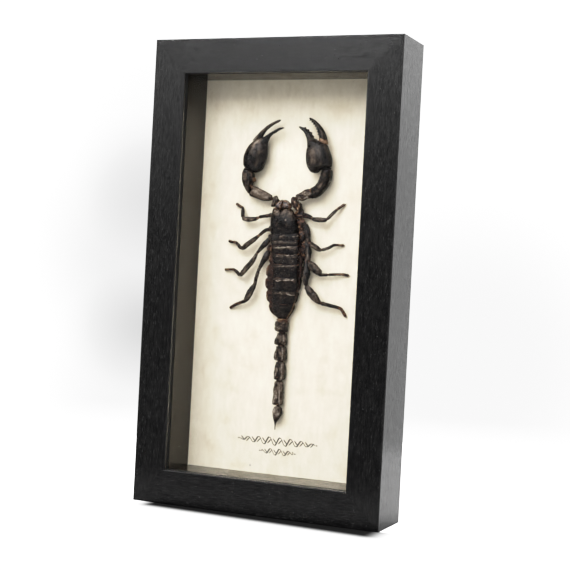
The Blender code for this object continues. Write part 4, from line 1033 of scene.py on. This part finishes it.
# One plate: its upper grid arches from shoulder to shoulder. From the front it climbs out from under
# the plate before it, with broken wrinkles where two clouds added together pass through nought, runs
# level, and rolls over in a quarter circle at its rear edge; the lower grid lies a thickness beneath.
def plateSkin(number):
    look = abdomen
    front, rear = look["plateEnds"][number] + 0.45, look["plateEnds"][number + 1] - 0.1
    length = front - rear
    share = np.linspace(0, 1, int(length / 0.14) + 8)[:, None]
    z = front - length * share
    left, right, _, _, crown = abdomenAt(z[:, 0])
    turn = np.linspace(0, math.pi, 89)
    middle, half = (left + right) / 2, (right - left) / 2 + 0.1
    shoulder = crown * look["shoulder"]
    x = middle + half * np.cos(turn)
    at = share * length
    roll = held((at - (length - 0.4)) / 0.4)
    climb = min(look["climb"], 0.55 * length)
    rise = held(at / climb)
    rise = look["step"] * (rise * (2 - rise) - 1) - 0.4 * (1 - np.sqrt(1 - roll**2))
    arch = np.sin(turn) ** 0.5  # what lies on the plate fades towards its sides by this
    height = shoulder + rise + (crown - shoulder) * np.sin(turn) ** 0.75
    depth = z + 0.55 * np.cos(turn) ** 8 + 0.14 * np.sin(x * 0.9 + number * 2)
    spots = grid(x, number * 7.0, depth)
    forward = bell(np.maximum(at - climb * 0.8, 0), 0.7)
    waves = cloud(spots, (3.2, 1.0, 1.25), 50 + number)
    waves = waves + 0.22 * cloud(spots, (0.9, 1.0, 0.9), 60 + number)
    broken = held(0.45 + 1.4 * cloud(spots, (2.2, 1.0, 1.2), 70 + number))
    crests = held(1 - np.abs(waves) / 0.30) * broken * look["wrinkled"][number] * forward * arch
    height = height + 0.16 * crests + 0.08 * cloud(spots, (1.1, 1.0, 0.8), 31) * (1 - roll) * arch
    if number == len(look["plateEnds"]) - 2:  # four low keels run to the tail
        for line in (-2.6, -0.9, 0.9, 2.6):
            height += 0.16 * bell(x - middle - line * (1.15 - 0.5 * share), 0.3) * bell(share - 0.6, 0.35)
    # painted highlights: pale strokes along the wrinkles, raised a little
    pale = 0
    for x0, z0, x1, z1, amount in look["paleHighlightStrokes"]:
        run = held((x - x0) / (x1 - x0))
        line = z0 + (z1 - z0) * run + 0.12 * np.sin(x * 2.3 + z0)
        line = line + 0.25 * cloud(spots * (1, 0, 0), 1.1, 200)
        stroke = bell(depth - line, 0.25) * bell(np.maximum(np.maximum(x0 - x, x - x1), 0), 0.3)
        pale = pale + 0.9 * amount * stroke * np.clip(0.62 + 1.2 * cloud(spots, 1.2, 210), 0.05, 1.2)
    upper = grid(x, height + 0.12 * pale * (1 - roll), depth)
    lower = upper - grid(0, look["thickness"] * (1 - 0.85 * roll) * np.clip(share * 12, 0.15, 1), 0)
    band = look["bands"][number] * (0.6 + 0.4 * cloud(spots * (1, 1, 0), (2.6, 1, 1), 90 + number))
    # painted highlight: the climbing front and the wrinkle crests are made paler
    tone = 0.12 * cloud(upper, 1.6, 33) + 0.10 * cloud(upper, 0.7, 34) - look["rubbed"][number] * forward
    tone = (tone - 0.55 * crests - 0.07) * held((length - at) / 0.8)
    seam = bell(at - 0.75, 0.32)
    sides = look["edges"][number] * bell(half - np.abs(x - middle), 0.4)
    return slabSkin(upper, lower, tone * (1 - 0.8 * seam) + band * seam + sides - pale)


skins = [bellySkin()] + [plateSkin(number) for number in range(len(abdomen["plateEnds"]) - 1)]
makePiece("abdomen_plates", skins, shellBlack, "abdomen")
print("abdomen made")


# The tail: five segments with eight beaded keels, and the sting

tail = {
    "segments": {  # z, left, right, half thickness
        "tail_1": [(103.3, -0.9, 4.2, 1.7), (102.7, -2.2, 4.8, 2.3), (100.5, -2.4, 4.9, 2.5),
                   (98.2, -2.3, 4.9, 2.5), (97.3, -1.2, 4.6, 2.0), (96.9, -0.4, 4.2, 1.5)],
        "tail_2": [(96.7, -0.5, 4.1, 1.5), (95.2, -0.9, 4.5, 1.9), (92.5, -2.0, 4.9, 2.5),
                   (90.7, -2.3, 4.8, 2.4), (89.9, -1.2, 4.3, 1.9), (89.8, -0.7, 4.0, 1.5)],
        "tail_3": [(89.5, -0.7, 4.0, 1.5), (88.0, -1.0, 4.6, 2.0), (84.5, -1.9, 4.9, 2.4),
                   (82.2, -1.8, 4.8, 2.4), (81.4, -0.9, 4.2, 1.9), (81.2, -0.5, 3.9, 1.5)],
        "tail_4": [(80.9, -0.5, 3.8, 1.5), (79.0, -0.9, 4.5, 2.0), (75.0, -1.4, 4.8, 2.3),
                   (72.0, -1.4, 4.7, 2.3), (70.9, -0.9, 4.1, 1.9), (70.6, -0.6, 3.7, 1.5)],
        "tail_5": [(70.2, -0.7, 3.7, 1.5), (68.0, -1.0, 4.1, 2.0), (62.0, -1.3, 4.3, 2.1),
                   (58.5, -1.4, 4.2, 2.2), (57.3, -1.4, 3.9, 1.9), (56.9, -0.5, 3.3, 1.4)],
        "stinger": [(56.5, 0.4, 2.6, 1.1), (55.5, -0.8, 3.9, 1.9), (53.5, -1.4, 4.4, 2.3),
                    (51.4, -1.2, 3.7, 2.1), (49.8, -0.9, 2.9, 1.6), (48.3, -0.4, 1.9, 1.1),
                    (46.9, 0.0, 1.0, 0.55), (45.2, 0.2, 0.8, 0.4), (43.2, 0.3, 0.6, 0.25)],
    },
    "height": 3.0,
    # soft collars: place ahead of the segment's first section, share of its width, tone
    "collars": {"tail_1": [(0.5, 1.45, 0.56), (-0.5, 1.4, 0.5)], "others": [(0.15, 0.82, 0.28)]},
    "segmentLook": {
        "square": 2.6, "ends": (0.35, 0.35), "lumps": (0.22, 1.0), "bristles": 20,
        "ridges": ridgesAt((22, 62, 118, 158, 202, 242, 298, 338), 0.34, 8, 0.9, 0.06, 0.96)},
    "stingLook": {
        "square": 2.0, "ends": (0.35, 0.2), "lumps": (0.07, 1.0), "bristles": 26, "ridges": []},
    # from where, which way, how it bends, its length and radius
    "spur": ((-1.2, 3.2, 57.6), (-0.75, 0.0, -0.35), (0, 0, -0.1), 0.9, 0.28),
    "tones": (-0.18, -0.22, -0.27, -0.33, -0.37, -0.56),
    # brown at the joints and pale worn spots: x, z, radius, amount
    "spots": [(0.6, 103.4, 0.9, 1.0), (2.4, 103.4, 0.9, 1.0), (2.0, 97.0, 1.2, 0.6),
              (1.8, 89.7, 1.1, 0.5),
              (1.7, 81.0, 1.1, 0.5), (1.6, 72.6, 0.9, 0.9), (0.4, 72.0, 0.7, 0.8), (1.0, 70.6, 1.0, 0.5),
              (1.6, 57.4, 0.6, 1.2), (1.4, 47.0, 2.0, 0.8), (1.3, 44.4, 1.5, 0.6)],
}


def makeTail():
    for number, (name, table) in enumerate(tail["segments"].items()):
        stations = [(left, z, right, z, tail["height"], half) for z, left, right, half in table]
        isSting = name == "stinger"
        look = tail["stingLook" if isSting else "segmentLook"]
        rings, raised = limbRings(stations, 56, look["square"], look["ends"], look["ridges"],
                                  look["lumps"], number + 80)
        if not isSting:  # the back is hollowed between its two upper keels
            x = rings[..., 0]
            off = (x - x.mean(axis=1, keepdims=True)) / np.ptp(x, axis=1, keepdims=True)
            rings[..., 1] -= 0.5 * bell(off, 0.16) * (rings[..., 1] > 3.5)
        tone = limbTone(rings, raised, tail["tones"][number], tail["spots"], number + 90, 0.4, 1.6)
        skins = [ringSkin(rings, tone)]
        z, left, right, half = table[0]
        for shift, wide, shade in tail["collars"].get(name, tail["collars"]["others"]):
            collar = eggRings(((left + right) / 2, tail["height"], z + shift),
                              ((right - left) / 2 * wide, half * wide, 0.8), 24, 12)
            skins.append(ringSkin(collar, shade + 0.3 * cloud(collar, 0.8, number + 150)))
        if name == "tail_5":  # the spur at the left of its rear end
            skins.append(ringSkin(thorn(*tail["spur"]), 0.1))
        growOn(rings, look["bristles"], 0.8)
        title, finish = ("sting", shellSmooth) if isSting else ("tail_segment_" + name[-1], shellBlack)
        makePiece(title, skins, finish, name)


makeTail()
print("tail made")


# The legs: x, z, height and radius at each point, from the body to the tip

legs = {
    "leg_left_1": [
        (-8.2, 161.0, 2.4, 1.2), (-10.4, 160.5, 2.9, 0.95), (-14.0, 159.7, 3.9, 0.85),
        (-15.3, 159.2, 4.1, 0.75), (-17.5, 158.4, 4.3, 1.05), (-21.0, 158.0, 4.6, 1.35),
        (-23.7, 158.2, 4.5, 1.1), (-24.7, 159.2, 4.3, 0.95), (-25.6, 161.8, 3.2, 0.95),
        (-26.1, 164.0, 2.2, 0.7), (-28.6, 165.4, 1.5, 0.68), (-30.9, 166.7, 0.85, 0.62)],
    "leg_left_2": [
        (-8.2, 153.1, 2.4, 1.2), (-10.6, 152.7, 2.9, 0.95), (-13.4, 150.5, 3.8, 0.85),
        (-14.6, 149.4, 4.0, 0.75), (-17.3, 147.0, 4.4, 1.2), (-21.2, 144.1, 4.7, 1.35),
        (-23.9, 142.1, 4.5, 1.05), (-25.0, 142.1, 4.2, 0.85), (-27.3, 143.7, 3.2, 0.85),
        (-29.6, 145.1, 2.2, 0.65), (-32.0, 145.2, 1.4, 0.66), (-34.4, 145.9, 0.85, 0.62)],
    "leg_left_3": [
        (-8.9, 147.8, 2.2, 1.05), (-10.9, 145.2, 3.0, 1.4), (-13.3, 142.2, 3.7, 1.0),
        (-15.3, 139.5, 4.0, 0.7), (-16.3, 137.4, 4.2, 0.9), (-18.1, 134.5, 4.5, 1.35),
        (-21.3, 130.6, 4.7, 1.4), (-24.0, 127.5, 4.5, 1.1), (-24.9, 127.1, 4.2, 0.85),
        (-27.3, 128.7, 3.2, 0.85), (-30.2, 130.0, 2.2, 0.65), (-33.0, 129.8, 1.4, 0.55),
        (-35.8, 129.6, 0.85, 0.62)],
    "leg_left_4": [
        (-9.0, 141.2, 2.2, 1.1), (-10.4, 137.6, 3.0, 1.6), (-12.4, 133.6, 3.6, 1.05),
        (-14.0, 129.6, 4.0, 0.8), (-15.0, 125.6, 4.2, 0.95), (-15.6, 122.3, 4.3, 0.95),
        (-16.6, 120.4, 4.5, 1.4), (-18.3, 117.2, 4.7, 1.65), (-20.1, 113.9, 4.5, 1.3),
        (-21.1, 112.8, 4.2, 0.9), (-24.0, 111.8, 3.2, 0.85), (-27.2, 110.6, 2.2, 0.75),
        (-29.6, 109.5, 1.4, 0.70), (-31.5, 108.3, 0.85, 0.66)],
    "leg_right_1": [
        (9.6, 161.5, 2.6, 1.25), (12.4, 161.2, 3.2, 1.2), (15.0, 160.4, 3.8, 1.1),
        (16.4, 159.7, 4.0, 0.8), (18.6, 159.2, 4.4, 1.15), (21.5, 159.1, 4.6, 1.3),
        (24.0, 159.2, 4.5, 1.05), (25.1, 159.7, 4.3, 0.8), (27.4, 162.3, 3.3, 0.85),
        (30.1, 165.3, 2.2, 0.65), (31.9, 166.8, 1.5, 0.66), (33.7, 168.1, 0.85, 0.62)],
    "leg_right_2": [
        (10.3, 155.9, 2.6, 1.3), (12.8, 155.0, 3.8, 1.6), (14.4, 152.0, 4.8, 1.6),
        (15.3, 148.6, 5.3, 1.2), (16.1, 146.5, 5.4, 0.95), (17.6, 145.4, 5.3, 1.3),
        (20.1, 144.0, 5.0, 1.3), (21.8, 142.9, 4.5, 0.95), (23.0, 143.0, 4.2, 0.8),
        (26.3, 144.1, 3.3, 0.8), (30.2, 146.0, 2.2, 0.65), (32.3, 146.0, 1.5, 0.55),
        (34.4, 145.9, 0.85, 0.62)],
    "leg_right_3": [
        (12.0, 148.7, 2.2, 1.0), (14.1, 145.0, 2.8, 1.5), (15.4, 141.0, 4.1, 1.6),
        (15.8, 138.0, 5.1, 1.2), (16.4, 136.3, 5.5, 1.0), (17.9, 134.5, 5.4, 1.95),
        (20.0, 132.6, 5.2, 2.15), (22.3, 130.6, 4.8, 1.7), (23.6, 129.5, 4.4, 0.9),
        (27.2, 129.7, 3.4, 0.65), (31.0, 130.1, 2.4, 0.65), (34.2, 130.3, 1.8, 0.6),
        (36.2, 130.1, 1.2, 0.64), (38.0, 129.9, 0.85, 0.62)],
    "leg_right_4": [
        (13.3, 139.0, 2.0, 0.95), (14.0, 135.0, 2.7, 1.4), (14.5, 130.5, 3.6, 2.0),
        (14.5, 126.0, 4.0, 1.55), (15.1, 123.2, 4.1, 1.05), (16.2, 121.7, 4.4, 1.6),
        (18.2, 119.4, 4.7, 2.05), (20.8, 116.9, 4.7, 1.95), (22.8, 114.9, 4.5, 1.2),
        (24.2, 114.3, 4.2, 0.95), (29.0, 113.2, 3.2, 0.95), (34.7, 111.9, 2.1, 0.8),
        (36.3, 109.8, 1.4, 0.72), (37.6, 107.6, 0.85, 0.66)],
}
# the hip that fills the gap between a leg and the body: (x, height, z), half sizes
hips = {
    "leg_left_1": ((-7.6, 2.6, 160.9), (1.6, 1.5, 1.7)),
    "leg_left_2": ((-7.8, 2.6, 153.4), (1.6, 1.5, 1.9)),
    "leg_left_3": ((-8.3, 2.4, 148.6), (1.4, 1.4, 1.9)),
    "leg_left_4": ((-8.7, 2.4, 142.6), (1.3, 1.4, 2.2)),
    "leg_right_1": ((8.8, 3.2, 161.6), (2.6, 2.2, 2.9)),
    "leg_right_2": ((9.8, 3.0, 156.2), (2.6, 2.1, 3.2)),
    "leg_right_3": ((10.8, 2.6, 150.3), (2.5, 2.2, 3.8)),
    "leg_right_4": ((12.3, 2.4, 142.6), (1.8, 1.9, 5.2)),
}
legLook = {
    "tone": -0.30, "jointTone": 0.62, "tipTone": 0.70, "rootTone": 0.42, "clawTone": 0.4,
    # side is the tone of the painted shade down a leg's sides
    "rootReach": 1.7, "side": 0.30, "brownest": 0.60, "thicker": 0.08, "flat": 0.92, "square": 2.6,
    # a leg's half that is turned from the light is black: how far from the body, and its tone
    "lee": {"leg_right_3": 11.5, "leg_right_4": 16.5}, "leeTone": 0.03,
    "claw": (0.9, 0.17),  # length and radius
}


# A leg is a tube along its points. Where the radius is smallest between two longer parts there is a
# joint: the tube is drawn in a little and browner there. Two claws leave the tip.
def makeLegs():
    look = legLook
    for number, (name, points) in enumerate(legs.items()):
        table = np.array(points)[:, [0, 2, 1, 3]]
        places = reached(table[:, :3])
        length = places[-1]
        at = np.linspace(0, length, int(length / 0.22))
        dense = tableAt(places, table, at)
        path, radius = dense[:, :3], dense[:, 3]
        inner = table[1:-1, 3]
        joints = places[1:-1][(inner < table[:-2, 3]) & (inner <= table[2:, 3])]
        gap = np.abs(at[:, None] - joints).min(axis=1)
        radius = radius * (1 - 0.28 * bell(gap, 0.3) + 0.10 * bell(gap - 0.8, 0.35))
        radius = radius + look["thicker"] + 0.10 * held(at / length * 6 - 5)
        radius = radius * roundedEnds(at, length, (0.8, 0.4))
        rings = tubeRings(path, radius, 28, look["flat"], look["square"])
        grow = 0.12 * cloud(rings, 0.9, number + 100) + 0.05 * cloud(rings, 0.4, number + 101)
        rings = rings + (rings - path[:, None]) * grow[..., None]
        rings[..., 1] = np.maximum(rings[..., 1], 0.05)
        base = look["tone"] + look["jointTone"] * bell(gap, 0.7)
        base += look["tipTone"] * held(at / length * 5 - 3.4) + 0.14 * cloud(path, 2.4, number + 160)
        base += look["rootTone"] * held(look["rootReach"] - at / 7)
        tone = limbTone(rings, 0, base[:, None], (), number + 102, 0.34, side=look["side"])
        tone = np.minimum(tone, look["brownest"])
        if name in look["lee"]:
            lee = held((rings[..., 0] - path[:, None, 0]) / 0.5)
            lee = lee * held((look["lee"][name] - at[:, None]) / 2)
            tone = tone + (look["leeTone"] - tone) * lee
        skins = [ringSkin(rings, tone)]
        egg = lumpyEgg(*hips[name], 0.30, 1.1, number + 120, 36, 28)
        egg[..., 1] = np.maximum(egg[..., 1], 0.1)
        skins.append(ringSkin(egg, np.clip(0.26 + 0.75 * cloud(egg, 0.9, number + 121), 0.04, 0.85)))
        way = unit(path[-1] - path[-6])
        side = np.cross(way, (0.0, 1.0, 0.0))
        for turn in (-1, 1):
            out, bend = way * 0.6 + side * turn * 0.55, way * 0.35 - side * turn * 0.25 + (0, -0.25, 0)
            claw = thorn(path[-2], out, bend, *look["claw"])
            claw[..., 1] = np.maximum(claw[..., 1], 0.04)
            skins.append(ringSkin(claw, look["clawTone"]))
        growOn(rings[len(rings) // 2:], 34, 0.8)
        makePiece(name + "_shell", skins, shellSmooth, name)


makeLegs()
print("legs made")


# Bristles: thin cones of four sides on the remembered surfaces, leaning towards each limb's end

bristleLook = {"radius": 0.035, "lean": 0.6, "tone": 0.3, "seed": 7}


def makeBristles():
    look = bristleLook
    draw = np.random.default_rng(look["seed"])
    points = []
    for rings, count, length in bristleSets:
        rows, around, _ = rings.shape
        row, spot = draw.integers(2, rows - 2, count), draw.integers(0, around, count)
        here = rings[row, spot]
        along = unit(rings[row + 1, spot] - rings[row - 1, spot])
        out = unit(here - rings[row].mean(axis=1))
        way = out + along * look["lean"] * draw.uniform(0.5, 1.4, (count, 1))
        way = unit(way + draw.normal(0, 0.15, (count, 3)))
        side = unit(np.cross(way, (0.3, 0.2, 0.9))) * look["radius"]
        other = np.cross(way, side)
        root = here - out * 0.05
        tip = here + way * length * draw.uniform(0.5, 1.2, (count, 1))
        tip[:, 1] = np.maximum(tip[:, 1], 0.08)
        points.append(np.stack([root + side, root + other, root - side, root - other, tip], axis=1))
    points = np.concatenate(points)
    cone = np.array([[0, 1, 4], [1, 2, 4], [2, 3, 4], [3, 0, 4], [0, 2, 1], [0, 3, 2]])
    fans = (5 * np.arange(len(points))[:, None, None] + cone).reshape(-1, 3)
    points = points.reshape(-1, 3)
    skin = points, np.zeros((0, 4), int), fans, np.full(len(points), look["tone"])
    makePiece("bristles", [skin], shellSmooth)
    print("bristles made:", len(fans) // 6)


makeBristles()


# Studio: a pale floor, a surround that differs by direction, a soft light in front, the camera

studio = {
    "floorMiddle": (0.0, 110.0),  # it reaches further behind the frame than in front
    "floorRadius": 232.0,
    "horizon": (-0.127, -0.102),  # the way down at which the wall's painted shadows have faded out, and begin to
    "floor": ((0.30, 0.30, 0.30), (0.82, 0.82, 0.82)),  # front: a painted darker reflection, as the frame mirrors its front part; elsewhere
    "floorGlow": 0.20,
    "whiteGlow": 1.6,  # how bright the floor is to the camera
    "mirrored": (-30.0, 60.0),  # from the front part to the rest, in depth
    # a painted contact shadow: where it ends in front, how much further it reaches on the right, its two
    # ends
    "paintedContactShadow": {"near": -24.0, "far": -40.0, "slant": 0.045,
                "left": (-70.0, -57.0), "right": (67.0, 87.0),
                "under": (-14.0, -15.0), "colour": (0.014, 0.014, 0.014)},
    "surround": {
        # its level below, and its changes upwards in front: between which slopes, and to what
        "below": 1.45, "ahead": [(-0.42, -0.16, 0.09), (0.03, 0.28, 1.45), (0.5, 0.9, 0.85)],
        "behind": (0.04, 0.25, 0.86, 1.45),  # its change upwards behind: both slopes, both levels
        "turn": (-0.35, 0.15),  # where the front gives way to what is behind
        # brighter patches: high on the left, low on the left, low on the right: way, reach and level
        "patches": [
            ((-0.66, -0.57, 0.44), (0.87, 1.0), 2.6), ((-0.93, -0.36, 0.05), (0.88, 0.99), 2.6),
            ((0.60, -0.80, 0.0), (0.80, 0.97), 1.0)],
        # what the camera sees: white, with painted soft shadows of the frame on the wall behind it: way,
        # reach and depth
        "white": 1.7,
        "paintedShadows": [
            ((-0.470, 0.882, 0.01), (0.9930, 0.9995), 0.60),
            ((-0.465, 0.882, 0.085), (0.9955, 0.9997), 0.26),
            ((-0.475, 0.882, -0.095), (0.9950, 0.9997), 0.46),
            ((-0.26, 0.965, -0.06), (0.990, 0.9995), 0.45)],
    },
    "keyLight": {"place": (-150, -1010, 875), "aim": (0, 0, 127),
                 "width": 950, "height": 700, "power": 9.8},
    "cameraPlace": (280.31, -644.54, 129.71),
    "cameraTurn": (89.4498, -3.0123, 23.1023),
    "lens": 82.0,
    "range": 1.6,
    "response": [(0.3, 0.3), (0.6, 0.6), (0.85, 0.783), (1.11, 0.888), (1.25, 0.939)],
}


# A round flat floor: rings of points whose radius grows towards the edge. A contact shadow is painted
# on it right in front of the frame.
def makeFloor():
    look = studio["paintedContactShadow"]
    rows, around = 24, 96
    radius = (studio["floorRadius"] * np.linspace(0.02, 1, rows) ** 1.5)[:, None]
    across, along = section(turns(around))
    x, y = studio["floorMiddle"]
    points = grid(x + radius * across, y + radius * along, 0.0).reshape(-1, 3) * mm
    k = np.arange(rows * around).reshape(rows, around)
    after = np.roll(k, -1, axis=1)
    quads = np.stack([k[:-1], k[1:], after[1:], after[:-1]], axis=-1).reshape(-1, 4).tolist()
    mesh = bpy.data.meshes.new("floor")
    mesh.from_pydata(points.tolist(), [], quads + [k[0].tolist()])
    front, behind = studio["floor"]
    material, place = newMaterial("floorWhite", behind, Roughness=0.8, Specular_IOR_Level=0.0)
    x, y, _ = addNode("SeparateXYZ", {0: place})
    # painted contact shadow: the floor is darkened in a stretch right in front of the frame's foot
    dark = fade(x * look["slant"] + y, look["far"], look["near"]) * fade(y, *look["under"])
    dark = dark * fade(x, *look["left"]) * fade(x, *reversed(look["right"]))
    tree = material.node_tree
    camera, glossy = (source(tree, "LightPath", f"Is {ray} Ray") for ray in ("Camera", "Glossy"))
    # painted reflection: glossy rays see the floor's front part darker than the rest
    far = calc("MAXIMUM", fade(y, *studio["mirrored"]), 1.0 - glossy)
    white = mixColours(far, front, behind)
    glow = calc("MAXIMUM", camera * studio["whiteGlow"], far * studio["floorGlow"]) * (1.0 - dark)
    feed(tree.nodes["Principled BSDF"], {
        "Base Color": mixColours(dark, white, look["colour"]), "Emission Color": (1, 1, 1, 1),
        "Emission Strength": glow})
    mesh.materials.append(material)
    addObject("floor", mesh)


# How nearly a direction points along way: 0 at the first reach (a cosine), 1 at the second.
def towards(direction, way, reach):
    way = Vector(way).normalized()
    return fade(addNode("VectorMath", {0: direction, 1: way}, operation="DOT_PRODUCT")[1], *reach)


# As light the surround is white behind, paler above than ahead, with a dark card and a bright wall;
# to the camera it is white with a painted soft shadow of the frame on the wall behind it.
def makeSurround():
    world = bpy.data.worlds.new("surround")
    world.use_nodes = True
    bpy.context.scene.world = world
    look = studio["surround"]
    direction = source(world.node_tree, "TexCoord", "Generated")
    _, ahead, up = addNode("SeparateXYZ", {0: direction})
    level = look["below"]
    for low, high, bright in look["ahead"]:
        level = between(fade(up, low, high), (level, bright))
    level = between(fade(ahead, *look["turn"]), (level, fade(up, *look["behind"])))
    for way, reach, bright in look["patches"]:
        level = between(towards(direction, way, reach), (level, bright))
    # painted soft shadows of the frame on the wall, seen only by the camera
    grey = 0.0
    for way, reach, depth in look["paintedShadows"]:
        grey = towards(direction, way, reach) * depth + grey
    seen = look["white"] - grey * fade(up, *studio["horizon"])
    camera = source(world.node_tree, "LightPath", "Is Camera Ray")
    feed(world.node_tree.nodes["Background"], {
        "Strength": between(camera, (level, seen)), "Color": (1.0, 1.0, 1.0, 1.0)})
    world.cycles.sampling_method = "NONE"  # its light goes through the glass, so it isn't counted twice


def makeLight():
    look = studio["keyLight"]
    light = bpy.data.lights.new("keyLight", "AREA")
    light.shape = "RECTANGLE"
    light.size, light.size_y = look["width"] * mm, look["height"] * mm
    light.energy = look["power"]
    light.cycles.use_multiple_importance_sampling = False
    lamp = addObject("keyLight", light)
    lamp.location = Vector(look["place"]) * mm
    way = Vector(look["aim"]) - Vector(look["place"])
    lamp.rotation_euler = way.to_track_quat("-Z", "Y").to_euler()


def makeCamera():
    camera = bpy.data.cameras.new("camera")
    camera.lens = studio["lens"]
    camera.sensor_width = 36.0
    camera.clip_start = 0.01
    holder = addObject("camera", camera)
    holder.location = Vector(studio["cameraPlace"]) * mm
    holder.rotation_euler = [math.radians(angle) for angle in studio["cameraTurn"]]
    bpy.context.scene.camera = holder


# The photograph's response: as bright as the scene up to 0.6, then a soft shoulder that reaches white
# at the range's end.
def setResponse():
    view = bpy.context.scene.view_settings
    view.view_transform = "Standard"
    view.use_curve_mapping = True
    curves = view.curve_mapping
    curves.white_level = (studio["range"],) * 3
    line = curves.curves[3]
    for place, level in studio["response"]:
        line.points.new(place / studio["range"], level)
    line.points[-1].location = (1.0, 1.0)
    curves.update()


makeFloor()
makeSurround()
makeLight()
makeCamera()
setResponse()
print("studio made")
